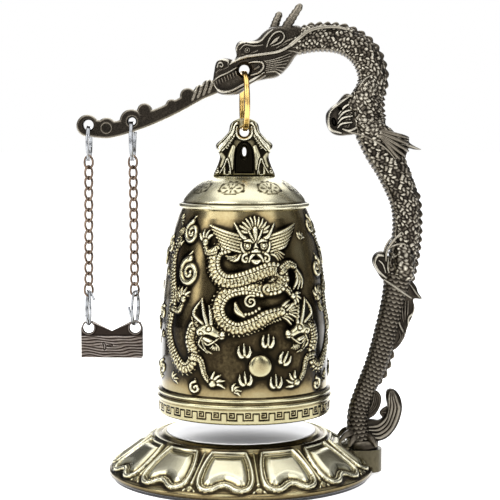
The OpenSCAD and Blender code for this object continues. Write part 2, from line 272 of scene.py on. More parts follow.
def worn(height, ground=0.0, full=0.5, cells=3):
    """Brightness of antiqued metal from its height: bright crests, dark hollows beside them."""
    crest = height - blur(height, cells)
    hollow = blur(np.abs(height - ground), 3 * cells)
    base = 0.3 - 0.28 * step_up(hollow, 0.02, 0.2)
    return np.clip(base + 0.42 * step_up(height, ground + 0.2 * full, full) + 2.4 * crest, 0, 1)


def scale_field(a, b, bead=False):
    """Overlapping round scales, one unit wide, with free edges that point along a.

    The value is about 0 in the seams and 1 on an edge. With bead, the scales are round nuggets of
    uneven height with dark seams.
    """
    row_pitch, radius = (0.8, 0.6) if bead else (0.62, 0.66)
    first = np.floor((a - radius) / row_pitch) + 1
    height = np.zeros(np.shape(a))
    free = np.ones(np.shape(a), bool)
    for k in range(3):
        row = first + k
        shift = 0.5 * (row % 2)
        column = np.round(b - shift)
        away = np.hypot(a - row * row_pitch, b - shift - column) / radius
        hit = free & (away < 1)
        rise = 0.45 + 0.55 * (a - row * row_pitch) / radius
        lump = 0.4 + 0.6 * np.abs(np.sin(2.1 * row + 1.3 * column + 3 * np.sin(row * column)))
        top = 1.1 * lump * (1 - away ** 2.4) if bead else np.minimum(rise, 4.2 * (1 - away))
        height = np.where(hit, np.minimum(top, 1), height)
        free = free & ~hit
    return height


# ---------------------------------------------------------------- reliefs

BELLY_SIDE = 0.35               # share of a scaled stroke's half width where its belly plates begin
# outer, outer and middle prong of a flame one unit in size, as a, b and share of the width
FLAME_PRONGS = (
    [(-0.5, 0.75, 0.15), (-0.56, 0.1, 0.9), (-0.3, -0.42, 1.1), (0.0, -0.1, 0.5)],
    [(0.5, 0.7, 0.15), (0.56, 0.1, 0.9), (0.3, -0.42, 1.1), (0.0, -0.1, 0.5)],
    [(-0.02, 0.95, 0.15), (0.0, 0.35, 0.7), (0.0, -0.2, 0.8)])


class Relief:
    """Heights in millimetres over a flat grid, built up from strokes and stamps."""

    def __init__(self, low, high, cells):
        self.a = np.linspace(low[0], high[0], cells[0])
        self.b = np.linspace(low[1], high[1], cells[1])
        self.A, self.B = np.meshgrid(self.a, self.b, indexing="ij")
        self.H = np.zeros_like(self.A)

    def window(self, low, high):
        i = np.searchsorted(self.a, (low[0], high[0]))
        j = np.searchsorted(self.b, (low[1], high[1]))
        return slice(max(i[0] - 1, 0), i[1] + 1), slice(max(j[0] - 1, 0), j[1] + 1)

    def near(self, line, reach):
        """Window round a line, and there the distance to it, the length along it and the signed side."""
        w = self.window(line.min(0) - reach, line.max(0) + reach)
        A, B = self.A[w], self.B[w]
        far = np.full(A.shape, np.inf)
        along, side = np.zeros(A.shape), np.zeros(A.shape)
        run = 0.0
        for p, d in zip(line[:-1], np.diff(line, axis=0)):
            size = math.hypot(*d)
            if size < TINY:
                continue
            share, x, y = from_segment(A, B, p, d)
            r = np.hypot(x, y)
            closer = r < far
            far = np.where(closer, r, far)
            along = np.where(closer, run + share * size, along)
            side = np.where(closer, np.sign(d[0] * y - d[1] * x) * r, side)
            run += size
        return w, far, along, side

    def put(self, w, inside, top, ring, over=0.25):
        """Lays a shape over what is there, with a moat round it."""
        ground = self.H[w]
        outside = np.where(ring, 0.25 * ground, ground)
        self.H[w] = np.where(inside, top + over * np.maximum(ground, 0), outside)

    def stroke(self, points, width, height, scales=0.0, moat=0.28, over=0.25):
        """Raised round band of that half width. A third column of points scales its width."""
        line = smooth_line(with_share(points))
        share = line[:, 2]
        line = line[:, :2]
        w, far, along, side = self.near(line, width + moat)
        local = np.maximum(np.interp(along, lengths(line), share), 0.05)
        half = width * local
        inside = far < half
        top = height * (0.45 + 0.55 * local) * np.sqrt(ridge(far, half))
        if scales:
            plates = np.abs(np.sin(math.pi * along / (0.72 * scales))) ** 0.7
            cut = np.where(side > BELLY_SIDE * half, plates, scale_field(along / scales, side / scales))
            cut = np.where(np.abs(side - BELLY_SIDE * half) < 0.15, 0, cut)
            top = top * (0.2 + 0.85 * cut)
        self.put(w, inside, top, (far >= half) & (far < half + moat), over)

    def fringe(self, points, side, offset, length, spacing):
        """Teeth along one side of a line, which lean back along it."""
        line = smooth_line(with_share(points)[:, :2], 12)
        stations = lengths(line)
        for s in np.arange(spacing, stations[-1] - spacing, spacing):
            at = np.array([np.interp(s, stations, line[:, k]) for k in (0, 1)])
            way = np.array([np.interp(s + 0.3, stations, line[:, k]) for k in (0, 1)]) - at
            way = way / max(math.hypot(*way), TINY)
            out = side * np.array([-way[1], way[0]])
            root, tip = at + out * offset, at + out * (offset + length) + way * 0.6 * length
            self.stroke([[*root, 1.2], [*tip, 0.2]], 0.24, 0.45, moat=0.12)

    def spiral(self, centre, radius, turns, start, width, height, hand=1):
        """Curl that winds in to its centre."""
        t = np.linspace(0, 1, int(10 * turns))
        angle = math.radians(start) + hand * turns * TURN * t
        r = radius * (1 - 0.88 * t)
        points = np.stack([centre[0] + r * np.cos(angle), centre[1] + r * np.sin(angle), 1 - 0.35 * t], 1)
        self.stroke(points, width, height, moat=0.2)

    def disc(self, centre, radius, height, moat=0.3, power=2.0):
        centre = np.array(centre[:2])
        w = self.window(centre - radius - moat, centre + radius + moat)
        r = np.hypot(self.A[w] - centre[0], self.B[w] - centre[1])
        top = height * np.clip(1 - (r / radius) ** power, 0, 1) ** 0.5
        self.put(w, r < radius, top, (r >= radius) & (r < radius + moat))

    def fan(self, root, spread, reach, count, width, height, bend=0.15):
        """Strokes that spread from a root, between two angles and two lengths."""
        root = np.array(root[:2])
        for k in range(count):
            f = k / (count - 1)
            angle = math.radians(spread[0] + (spread[1] - spread[0]) * f)
            size = reach[0] + (reach[1] - reach[0]) * f
            way = np.array([math.cos(angle), math.sin(angle)])
            side = np.array([-way[1], way[0]]) * bend * size
            self.stroke([[*(root + 0.12 * size * way), 0.6], [*(root + 0.55 * size * way + side), 1],
                         [*(root + size * way), 0.25]], width, height, moat=0.16)

    def claw(self, palm, angle, size):
        """Paw with four curved talons that spread round an angle."""
        self.fan(palm, (angle - 48, angle + 48), (size, size), 4, 0.13 * size, 0.6, 0.12)
        self.disc(palm, 0.3 * size, 0.6)

    def flame(self, centre, size, turn):
        """Trident flame: three prongs on a double-bowed foot."""
        c, s = math.cos(math.radians(turn)), math.sin(math.radians(turn))
        for prong in FLAME_PRONGS:
            points = [(centre[0] + size * (x * c - y * s), centre[1] + size * (x * s + y * c), k)
                      for x, y, k in prong]
            self.stroke(points, 0.17 * size, 0.62, moat=0.12, over=0.1)


def mirrored(s, middle=0.0):
    """Function that makes stroke points on one side (s is 1 or -1) of a middle line."""
    def at(x, z, share=1.0):
        return middle + s * x, z, share
    return at


def outline_distance(relief, outline):
    """Signed distance from a closed outline, negative inside."""
    far = np.full(relief.A.shape, np.inf)
    inside = np.zeros(relief.A.shape, bool)
    for p, q in zip(outline, np.roll(outline, -1, 0)):
        d = q - p
        _, x, y = from_segment(relief.A, relief.B, p, d)
        far = np.minimum(far, np.hypot(x, y))
        if abs(d[1]) > TINY:
            crossing = (p[1] > relief.B) != (q[1] > relief.B)
            inside ^= crossing & (relief.A < d[0] * (relief.B - p[1]) / d[1] + p[0])
    return np.where(inside, -far, far)


def circle_distance(relief, x, z, r):
    return np.hypot(relief.A - x, relief.B - z) - r


# ---------------------------------------------------------------- meshes

def make_mesh(name, points, quads, wear_and_painted_light, triangles):
    """Smooth-shaded object from points in millimetres, with its faces turned outwards."""
    mesh = bpy.data.meshes.new(name)
    corners = np.vstack([quads[:, [0, 1, 2]], quads[:, [0, 2, 3]], triangles])
    first, second, third = (points[corners[:, k]] for k in range(3))
    way = -1 if np.einsum("ij,ij->", first, np.cross(second, third)) < 0 else 1
    mesh.from_pydata((points * MM).tolist(), [], quads[:, ::way].tolist() + triangles[:, ::way].tolist())
    # per-point level for the material: wear of the antique finish, and in a few places painted light and shade
    layer = mesh.attributes.new("wear_and_painted_light", "FLOAT", "POINT")
    layer.data.foreach_set("value", np.asarray(wear_and_painted_light, np.float32))
    mesh.shade_smooth()
    return new_object(name, mesh)


def quads_of(index):
    """Four corners of every cell of a grid of point numbers."""
    return np.stack([index[:-1, :-1], index[1:, :-1], index[1:, 1:], index[:-1, 1:]], -1)


def grid_object(name, points, wear_and_painted_light, wrap_a=False):
    """Object over an n by m array of points that closes along m. Along n it closes, or has end caps."""
    n, m = points.shape[:2]
    index = np.arange(n * m).reshape(n, m)
    index = np.hstack([index, index[:, :1]])
    flat, shade = points.reshape(-1, 3), np.broadcast_to(wear_and_painted_light, (n, m)).ravel()
    caps = np.zeros((0, 3), int)
    if wrap_a:
        index = np.vstack([index, index[:1]])
    else:
        flat = np.vstack([flat, points[0].mean(0), points[-1].mean(0)])
        shade = np.r_[shade, shade[0], shade[-1]]
        first, last = index[0], index[-1]
        caps = np.vstack([np.stack([np.full(m, n * m), first[:-1], first[1:]], 1),
                          np.stack([np.full(m, n * m + 1), last[1:], last[:-1]], 1)])
    return make_mesh(name, flat, quads_of(index).reshape(-1, 4), shade, caps)


def around(angle, r, z, centre_x=0.0):
    """Points at those angles, radii and heights round a vertical axis."""
    angle = angle[:, None]
    return np.stack([centre_x + r * np.cos(angle), r * np.sin(angle), np.broadcast_to(z, r.shape)], -1)


def beside(field, row):
    """Field with the same further values after each of its rows."""
    return np.hstack([field, np.broadcast_to(row, (len(field), len(row)))])


def revolved(name, profile, columns, centre_x, wear_and_painted_light, sink_r=0.0, sink_z=0.0):
    """Closed ring of a profile of r and z points, turned round a vertical axis."""
    r, z = (np.broadcast_to(column, (columns, len(profile))) for column in np.array(profile, float).T)
    return grid_object(name, around(full_turn(columns), r - sink_r, z - sink_z, centre_x), wear_and_painted_light, True)


def tube(name, line, radius, sides=12, closed=False, wear_and_painted_light=0.5, flat=1.0):
    """Round wire or horn along a line of x, y, z points. flat squeezes it across its first normal."""
    line = np.array(line, float)
    n = len(line)
    way = unit(np.roll(line, -1, 0) - np.roll(line, 1, 0) if closed else np.gradient(line, axis=0))
    normal = unit(np.cross(way[0], (0.31, 0.95, 0.07)))
    frames = []
    for w in way:
        normal = unit(normal - w * (normal @ w))
        frames.append((normal, np.cross(w, normal)))
    twist = 0.0
    if closed:  # the turn left over when the frame comes round, spread over the loop
        end = frames[-1][0] - way[0] * (frames[-1][0] @ way[0])
        twist = math.atan2(end @ frames[0][1], end @ frames[0][0])
    radius = np.broadcast_to(np.asarray(radius, float).reshape(-1, 1), (n, sides))
    points = np.zeros((n, sides, 3))
    for k, (u, v) in enumerate(frames):
        turn = full_turn(sides) - twist * k / n
        ring = np.cos(turn)[:, None] * u + flat * np.sin(turn)[:, None] * v
        points[k] = line[k] + radius[k][:, None] * ring
    return grid_object(name, points, wear_and_painted_light, closed)


def limb_tube(name, path, radius, shade):
    """Tube with its own radius at every point round it, a little narrower from front to back."""
    way = unit(np.gradient(path, axis=0))
    first = unit(np.cross(way, (0, 1, 0)))
    second = np.cross(way, first)
    angle = full_turn(radius.shape[1])[None, :, None]
    ring = np.cos(angle) * first[:, None] + 0.75 * np.sin(angle) * second[:, None]
    return grid_object(name, path[:, None] + radius[..., None] * ring, shade)


def casting(name, relief, distance, half, bevel, edge=0.35, wear_and_painted_light=None):
    """Flat casting in the XZ plane with the relief on both faces, rounded edges and side walls."""
    inside = distance < 0
    cell = inside[:-1, :-1] | inside[1:, :-1] | inside[1:, 1:] | inside[:-1, 1:]
    quads = quads_of(np.arange(distance.size).reshape(distance.shape))[cell]
    used, quads = np.unique(quads, return_inverse=True)
    quads = quads.reshape(-1, 4)
    slope = np.stack(np.gradient(distance, relief.a, relief.b), -1)
    steepness = np.maximum((slope ** 2).sum(-1), 0.3)[..., None]
    out = np.maximum(distance, 0)[..., None]
    place = np.stack([relief.A, relief.B], -1) - out * slope / steepness
    rise = np.clip(-distance / bevel, 0, 1)
    body = half * (edge + (1 - edge) * np.sqrt(1 - (1 - rise) ** 2))
    depth = body + relief.H * np.clip(rise * 2, 0, 1)
    x, z, y = place[..., 0].ravel()[used], place[..., 1].ravel()[used], depth.ravel()[used]
    count = len(used)
    points = np.vstack([np.stack([x, -y, z], 1), np.stack([x, y, z], 1)])
    edges = np.vstack([quads[:, pair] for pair in ([0, 1], [1, 2], [2, 3], [3, 0])])
    _, first, times = np.unique(np.sort(edges, 1), axis=0, return_index=True, return_counts=True)
    rim = edges[first[times == 1]]
    walls = np.stack([rim[:, 1], rim[:, 0], rim[:, 0] + count, rim[:, 1] + count], 1)
    faces = np.vstack([quads, quads[:, ::-1] + count, walls])
    shade = 0.1 + 0.76 * worn(relief.H + 0.5 * rise, 0.5, 1.1, 3) if wear_and_painted_light is None else wear_and_painted_light
    shade = np.clip(shade + 0.28 * (1 - rise) * (rise > 0), 0, 1).ravel()[used]
    return make_mesh(name, points, faces, np.r_[shade, shade], np.zeros((0, 3), int))


# ---------------------------------------------------------------- materials

def antiqued(name, stops, rough, grain=900.0, bump=0.15, mottle=0.3, use_wear_and_painted_light=True, wear_and_painted_light=0.5, metal=1.0):
    """Plated metal whose colour and polish follow each point's level of wear and painted light, broken up by
    fine noise.
    """
    material, graph, shader = new_material(name, {"Metallic": metal})
    place = graph.add("TexCoord", {}).outputs["Object"]
    fine = graph.noise(place, grain, 4)
    cloud = graph.noise(place, grain / 9, 3)
    both = graph.add("Math", {0: fine, 1: cloud}, operation="ADD").outputs[0]
    middle = -mottle + (0 if use_wear_and_painted_light else wear_and_painted_light)
    level = graph.add("Math", {0: both, 1: mottle, 2: middle}, operation="MULTIPLY_ADD").outputs[0]
    if use_wear_and_painted_light:
        own = graph.add("Attribute", {}, attribute_name="wear_and_painted_light").outputs["Fac"]
        level = graph.add("Math", {0: own, 1: level}, operation="ADD").outputs[0]
    polish = graph.add("MapRange", {"Value": level, "To Min": rough[0], "To Max": rough[1]})
    graph.fill(shader, {"Base Color": graph.ramp(level, stops), "Roughness": polish.outputs["Result"],
                        "Normal": graph.bump(fine, bump, 0.00006)})
    return material


def felt_material():
    material, graph, shader = new_material("felt", {"Roughness": 0.95, "Sheen Weight": 0.4})
    place = graph.add("TexCoord", {}).outputs["Object"]
    fibres = graph.noise(place, 2500, 6)
    colour = graph.ramp(fibres, [(0.3, (0.012, 0.012, 0.014)), (0.7, (0.06, 0.06, 0.065))])
    graph.fill(shader, {"Base Color": colour, "Normal": graph.bump(fibres, 0.6, 0.0001)})
    return material


MATERIALS = {
    "brass": antiqued("antique_brass", [
        (0.0, (0.006, 0.005, 0.003)), (0.18, (0.022, 0.016, 0.008)), (0.36, (0.2, 0.155, 0.075)),
        (0.6, (0.38, 0.35, 0.21)), (0.95, (0.62, 0.595, 0.455))], (0.17, 0.27), 1100, 0.12, 0.1),
    "cap": antiqued("satin_brass", [
        (0.12, (0.006, 0.005, 0.003)), (0.34, (0.13, 0.11, 0.06)), (0.62, (0.48, 0.45, 0.3)),
        (0.92, (0.63, 0.605, 0.475))], (0.36, 0.24), 900, 0.12, 0.16),
    "bronze": antiqued("dark_bronze", [
        (0.0, (0.008, 0.007, 0.006)), (0.3, (0.035, 0.029, 0.022)), (0.52, (0.115, 0.1, 0.078)),
        (0.76, (0.22, 0.198, 0.158)), (1.0, (0.46, 0.43, 0.355))], (0.42, 0.28), 1300, 0.35, 0.2),
    "pewter": antiqued("dark_pewter", [
        (0.0, (0.008, 0.006, 0.005)), (0.35, (0.035, 0.026, 0.021)), (0.65, (0.1, 0.08, 0.067)),
        (1.0, (0.34, 0.3, 0.27))], (0.5, 0.33), 1300, 0.3, 0.16),
    "gold": antiqued("gold_wire", [
        (0.2, (0.42, 0.23, 0.05)), (0.8, (0.8, 0.56, 0.2))], (0.2, 0.14), 700, 0.05, 0.12),
    "silver": antiqued("silver_wire", [
        (0.2, (0.16, 0.17, 0.18)), (0.8, (0.46, 0.47, 0.49))], (0.24, 0.16), 700, 0.05, 0.12),
    "copper": antiqued("copper_wire", [
        (0.1, (0.02, 0.013, 0.009)), (0.45, (0.11, 0.074, 0.052)), (0.85, (0.36, 0.27, 0.2))], (0.42, 0.28),
        900, 0.15, 0.3),
    "disc": antiqued("polished_disc", [
        (0.2, (0.78, 0.79, 0.82)), (0.8, (0.94, 0.94, 0.96))], (0.24, 0.15), 160, 0.02, 0.3, False, metal=0.45),
    "steel": antiqued("zinc_steel", [
        (0.2, (0.36, 0.37, 0.38)), (0.8, (0.62, 0.63, 0.64))], (0.42, 0.3), 800, 0.1, 0.2, False),
    "socket": antiqued("socket_bronze", [
        (0.1, (0.014, 0.012, 0.008)), (0.5, (0.085, 0.074, 0.046)), (0.95, (0.3, 0.27, 0.18))], (0.4, 0.26),
        900, 0.25, 0.4, False, 0.45),
}


def dress(piece, material, body, slot, *nodes):
    """Gives a new piece its material, its body and the CAD nodes that it stands for. slot is not used."""
    piece.data.materials.append(MATERIALS[material])
    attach(piece, body)
    if nodes:
        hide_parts(*nodes)


def bronze(piece, *nodes):
    """Dresses a piece of the dragon's casting."""
    dress(piece, "bronze", "stand", "dark_bronze", *nodes)


def redress(node, material):
    """Gives a CAD node its finished material."""
    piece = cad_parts[node]
    piece.data.materials.clear()
    piece.data.materials.append(material)


# ---------------------------------------------------------------- bell

BELL_X = float((box_mm("bell_barrel")[0][0] + box_mm("bell_barrel")[1][0]) / 2)
MOUTH_Z = float(box_mm("bell_barrel")[0][2])
PATTERN_R = 24.0                # radius at which the relief is drawn flat
PATTERN_TURN = math.radians(-82)  # direction that the pattern's middle faces
PATTERN_HALF = math.pi * PATTERN_R / 2  # half the width of the flat pattern, a quarter turn
RELIEF_SINK = 0.72              # how far the ground lies below the CAD wall, so that crests reach it
BELL_WALL = [(27.3, 25.75), (34, 25.75), (46.5, 25.55), (54, 25.05), (60, 24.35), (67.4, 23.15),
             (74.3, 21.65), (78.2, 20.35), (80.6, 19.3)]
BELL_INSIDE = [(19.1, 81.4), (18.6, 81.9), (15.8, 81.9), (17.0, 79), (18.7, 74.3), (20.3, 67.4), (21.6, 56),
               (22.6, 46), (22.9, 36), (22.9, 27.3)]
KEY_PERIODS = 35
KEY_LOW = 21.05                 # height of the key pattern's lowest line
KEY_LINE = [(-0.4, 1.9), (0.9, 1.9), (0.9, 0.0), (3.75, 0.0), (3.75, 1.9), (5.05, 1.9)]
KEY_BOX = [(1.65, 2.0), (3.0, 2.0), (3.0, 0.75), (1.65, 0.75), (1.65, 1.45), (2.35, 1.45)]
# right halves of the crown's outline and of the arch through it
CROWN_HALF = [(9.2, 90.0), (9.0, 90.9), (8.0, 93.1), (7.3, 95.4), (7.7, 97.0), (8.4, 98.6), (8.1, 99.7),
              (6.4, 101.2), (4.7, 103.0), (4.2, 105.1), (3.2, 106.3), (1.6, 107.1)]
ARCH_HALF = [(2.7, 90.9), (2.75, 94), (2.6, 97.2), (1.9, 99.2), (0.8, 100.2)]


def dragon_body(r):
    """S-shaped scaled body of the frontal dragon, with its clawed legs."""
    tail = [(2.4, 57.9), (-3.5, 58.7), (-8.4, 57.2), (-10.6, 53.4), (-9.4, 49.6), (-5.5, 47.4),
            (-0.7, 48.7), (3.2, 50.8), (7.5, 52.0, 0.7)]
    r.fringe(tail, -1, 1.75, 0.75, 0.95)
    r.fan((6.2, 51.4), (-38, 42), (5.6, 5.6), 7, 0.42, 0.5, 0.08)
    r.fan((8.6, 52.0), (-30, 30), (5.0, 5.0), 5, 0.42, 0.55, 0.05)
    r.stroke(tail, 1.8, 0.72, scales=1.55)
    r.spiral((-1.4, 55.0), 1.9, 1.6, 60, 0.34, 0.45)
    r.stroke([(-5.8, 54.6, 0.3), (-5.2, 52.4, 1.1), (-3.4, 50.9, 0.6)], 0.75, 0.5)
    for k in range(5):
        r.disc((-2.9 + 0.95 * k, 51.4 + 0.1 * k * k), 0.42, 0.42, 0.14)
    # hind leg over the lower coil
    r.stroke([(6.4, 59.4, 1.2), (9.6, 58.4, 0.9), (11.0, 56.6, 0.7)], 1.1, 0.66, scales=1.0)
    r.claw((11.6, 56.2), -35, 2.9)
    r.fan((3.6, 60.6), (-95, 5), (3.4, 4.4), 6, 0.32, 0.45)
    body = [(-7.6, 70.4, 0.8), (-11.4, 69.4), (-12.6, 66.3), (-11.6, 62.9), (-8.6, 60.9), (-4.4, 61.3),
            (0.4, 62.9), (4.8, 64.2), (7.9, 63.2), (8.6, 60.9), (6.6, 58.8, 0.95), (3.6, 58.3, 0.9)]
    r.fringe(body, -1, 1.8, 0.75, 0.95)
    r.stroke(body, 2.0, 0.8, scales=1.6)
    # forelegs: one raised at the left, one hanging at the right
    r.stroke([(-12.0, 69.6, 1.2), (-15.0, 68.8, 0.9), (-16.2, 70.6, 0.7)], 1.0, 0.66, scales=0.9)
    r.claw((-16.2, 71.6), 88, 3.6)
    r.stroke([(8.2, 63.6, 1.2), (10.8, 65.2), (13.0, 64.6, 0.8)], 1.15, 0.66, scales=0.9)
    r.fan((13.4, 64.4), (-104, -76), (6.4, 6.4), 3, 0.5, 0.66)


def dragon_face(r):
    """Face of the frontal dragon between two wings."""
    middle = 0.35
    for s in (-1, 1):
        at = mirrored(s, middle)
        # wing: long feathers over short ones
        for k in range(6):
            f = k / 5
            r.stroke([at(4.6, 69.0 + 4.4 * f, 0.6), at(9.0 + 1.6 * f, 70.2 + 4.6 * f),
                      at(11.2 + 4.6 * f, 71.0 + 5.4 * f + (0.3 if s > 0 else 0), 0.3)],
                     0.44, 0.52, moat=0.17)
        r.fan(at(4.4, 68.6), (-8 if s > 0 else 188, -40 if s > 0 else 220), (5.2, 3.6), 4, 0.36, 0.45)
    for k in range(11):
        angle = math.radians(12 + 15.6 * k)
        way = np.array([math.cos(angle), 0.86 * math.sin(angle)])
        base = np.array([middle, 74.0])
        r.stroke([[*(base + 2.3 * way), 0.7], [*(base + 4.2 * way + (0.25 * way[1], 0)), 1],
                  [*(base + 5.7 * way), 0.5]], 0.4, 0.5, moat=0.18)
    for s in (-1, 1):
        at = mirrored(s, middle)
        r.stroke([at(2.2, 72.2), at(4.4, 73.6, 0.9), at(6.9, 77.0, 0.2)],
                 0.6, 0.72)
        r.stroke([at(4.6, 71.8, 0.3), at(4.4, 70.2, 0.9), at(3.4, 68.8, 0.8),
                  at(2.0, 68.9, 0.4)], 0.42, 0.6)
        r.disc(at(2.6, 70.8), 1.15, 0.62, 0.2, 6)
        r.disc(at(2.6, 70.8), 0.62, 0.66, 0.25)
        r.stroke([(middle, 71.6, 0.8), at(1.6, 72.2, 1.1), at(3.6, 72.1, 0.4)], 0.5, 0.78)
        r.spiral(at(3.1, 67.1), 1.35, 1.1, 100 if s > 0 else 80, 0.4, 0.6, -s)
        r.stroke([at(0.5, 68.4, 0.8), at(1.5, 67.7), at(2.2, 66.3, 0.5)], 0.5, 0.7)
    r.stroke([(middle - 2.4, 75.4, 0.5), (middle - 1.3, 73.4), (middle, 71.9, 0.8), (middle + 1.3, 73.4),
              (middle + 2.4, 75.4, 0.5)], 0.36, 0.62)
    r.stroke([(middle, 75.3, 1.3), (middle, 73.9, 1.1), (middle, 72.4, 0.4)], 0.75, 0.78)
    r.stroke([(middle, 71.2, 0.6), (middle, 69.9, 1.5)], 0.62, 0.84)
    r.stroke([(middle - 1.2, 69.1, 0.6), (middle, 69.3, 1.2), (middle + 1.2, 69.1, 0.6)], 0.55, 0.8)
    r.stroke([(middle - 1.3, 66.6, 0.5), (middle, 66.1, 1.2), (middle + 1.3, 66.6, 0.5)], 0.6, 0.7)


def side_dragon(r, s):
    """Dragon that faces the pearl from one side, with a looped body, mane, whiskers and a clawed foot."""
    at = mirrored(s)
    hind = [at(27.5, 72.5, 0.25), at(29.8, 67, 0.7), at(29.2, 61), at(27.4, 55.5), at(28.4, 50),
            at(29.2, 45), at(26.8, 39.5), at(22.6, 35.4), at(19.4, 36.2), at(18.4, 39.8), at(19.6, 43.6),
            at(18.6, 47.4, 0.9)]
    r.fan(at(27.8, 72), (60, 130), (3.6, 3.6), 5, 0.36, 0.45)
    r.fringe(hind, s, 1.65, 0.8, 1.0)
    r.stroke(hind, 1.75, 0.7, scales=1.5)
    r.fan(at(24.6, 53.6), (70, 150) if s > 0 else (30, 110), (5.0, 5.0), 6, 0.34, 0.45)
    r.stroke([at(27.6, 52, 1.1), at(24.4, 51.6, 0.9), at(22.8, 54.2, 0.7)], 1.0, 0.62, scales=0.9)
    r.claw(at(22.6, 55.0), 90, 3.4)
    r.stroke([at(19.0, 38.6, 1.2), at(16.0, 37.8), at(14.6, 33.8, 0.8), at(13.0, 31.6, 0.7)], 1.0, 0.64,
             scales=0.9)
    r.claw(at(12.2, 31.2), 90 - s * -58, 3.6)
    # mane, horns, skull, snout, eye and whiskers
    for k in range(8):
        f = k / 7
        r.stroke([at(15.2, 47.0 + 1.4 * f, 0.8), at(17.6 + 0.8 * f, 48.0 + 3.4 * f),
                  at(19.2 - 3.6 * f, 50.0 + 5.6 * f, 0.25)], 0.36, 0.55, moat=0.15)
    r.stroke([at(13.8, 48.2), at(15.0, 51.6, 0.9), at(15.8, 55.4, 0.3)], 0.52, 0.7)
    r.stroke([at(12.6, 48.2), at(12.9, 51.0, 0.9), at(13.4, 53.6, 0.3)], 0.46, 0.7)
    r.stroke([at(16.0, 46.2, 1.3), at(13.6, 46.8, 1.5), at(11.4, 45.8, 1.1), at(9.6, 45.0, 0.9)], 1.05, 0.7)
    r.stroke([at(15.6, 44.4, 0.9), at(13.2, 43.6), at(11.4, 42.9, 0.6)], 0.6, 0.62)
    r.disc(at(9.3, 45.7), 0.85, 0.8, 0.2)
    r.disc(at(13.2, 47.0), 0.75, 0.86, 0.25)
    r.disc(at(15.6, 45.6), 0.6, 0.74, 0.18)
    r.fan(at(11.6, 43.2), (-120, -50) if s > 0 else (230, 300), (2.4, 2.6), 5, 0.2, 0.45)
    r.stroke([at(10.4, 44.4, 0.7), at(13.6, 42.4), at(15.6, 44.0, 0.7), at(14.2, 41.0, 0.7),
              at(12.2, 39.9, 0.4)], 0.24, 0.5)
    r.stroke([at(15.4, 44.8, 0.8), at(16.4, 42.4), at(13.6, 40.0, 0.4)], 0.22, 0.5)


# place, radius, turns, start in degrees, and hand of each cloud curl
CLOUDS = [(-22.4, 74.1, 3.1, 1.7, 100, 1), (-21.3, 62.8, 3.9, 1.8, 90, 1), (24.6, 76.0, 2.5, 1.5, 80, -1),
          (24.2, 63.6, 2.8, 1.6, 80, -1), (-17.6, 29.7, 1.8, 1.3, 90, 1), (20.4, 29.7, 1.8, 1.3, 90, -1),
          (-34.4, 70.0, 2.4, 1.6, 90, 1), (34.4, 66.0, 2.6, 1.7, 90, -1), (-34.8, 50.0, 2.2, 1.6, 60, 1),
          (34.6, 46.0, 2.4, 1.6, 60, -1), (-33.6, 34.0, 2.0, 1.5, 90, 1), (33.4, 32.4, 2.0, 1.5, 90, -1)]
# place and direction of each tuft between the curls, and of each flame round the pearl
TUFTS = [(-31.0, 77.0, 20), (31.5, 74.5, 160), (-34.0, 61.0, 60), (34.5, 56.5, 120), (-34.2, 42.2, 80),
         (34.4, 39.4, 100), (-26.8, 31.0, 30), (27.0, 31.0, 150), (-6.6, 29.2, 20), (17.0, 72.0, 60),
         (-27.5, 69.5, 100), (35.4, 29.8, 100), (-35.6, 29.8, 80)]
FLAMES = [(-3.2, 40.4, 4), (3.3, 43.2, -6), (8.2, 38.0, -28), (5.6, 31.4, 0), (-2.9, 32.4, 6)]


def clouds_and_pearl(r):
    """Cloud curls, tufts between them, and the pearl with its flames."""
    for u, z, radius, turns, start, hand in CLOUDS:
        r.stroke([(u - hand * 0.8 * radius, z + 0.6 * radius, 1.2),
                  (u + hand * 0.1 * radius, z + 1.5 * radius, 0.3)], 0.2 * radius, 0.5)
        r.spiral((u, z), radius, turns, start, 0.24 * radius, 0.66, hand)
    for u, z, lean in TUFTS:
        r.fan((u, z), (lean - 50, lean + 50), (2.6, 2.6), 4, 0.3, 0.42)
    r.disc((1.1, 36.5), 3.25, 0.78, 0.3, 3)
    for u, z, turn in FLAMES:
        r.flame((u, z), 2.75, turn)


def bell_barrel():
    """Relief wall of the bell. The pattern fills half the turn and repeats on the back."""
    columns, rows = 330, 226
    r = Relief((-PATTERN_HALF, BELL_WALL[0][0]), (PATTERN_HALF, BELL_WALL[-1][0]), (columns + 1, rows))
    side_dragon(r, -1)
    side_dragon(r, 1)
    clouds_and_pearl(r)
    dragon_body(r)
    dragon_face(r)
    height = np.vstack([r.H[:-1], r.H[:-1]])
    fade = step_up(r.b, 27.3, 28.0) * step_up(80.4 - r.b, 0, 0.5)
    height = np.minimum(height, 0.95) * fade
    # painted light on the open ground: a painted reflection brightens it above and along the lowest edge, and
    # painted shade darkens the band round the pearl
    bright = np.maximum(step_up(r.b, 46, 62), step_up(-r.b, -32, -28.5))
    open_ground = 1 - step_up(blur(height, 12), 0.0, 0.12)
    shade = worn(height, 0.0, 0.5, 2)
    shade = shade + (0.12 * open_ground * bright - 0.11 * (1 - bright)) * (height < 0.03)
    angle = PATTERN_TURN + (np.arange(2 * columns) - columns / 2) / columns * math.pi
    wall = np.interp(r.b, *np.array(BELL_WALL).T) - RELIEF_SINK
    inner_r, inner_z = np.array(BELL_INSIDE).T
    points = around(angle, beside(wall + height, inner_r), np.r_[r.b, inner_z], BELL_X)
    # painted light: the inner wall gets one fixed level, 0.42, raised so that the inside reads as lit brass
    piece = grid_object("bell_relief_wall", points, beside(shade, np.full(len(inner_r), 0.42)), True)
    dress(piece, "brass", "bell", "antique_brass", "bell_barrel")


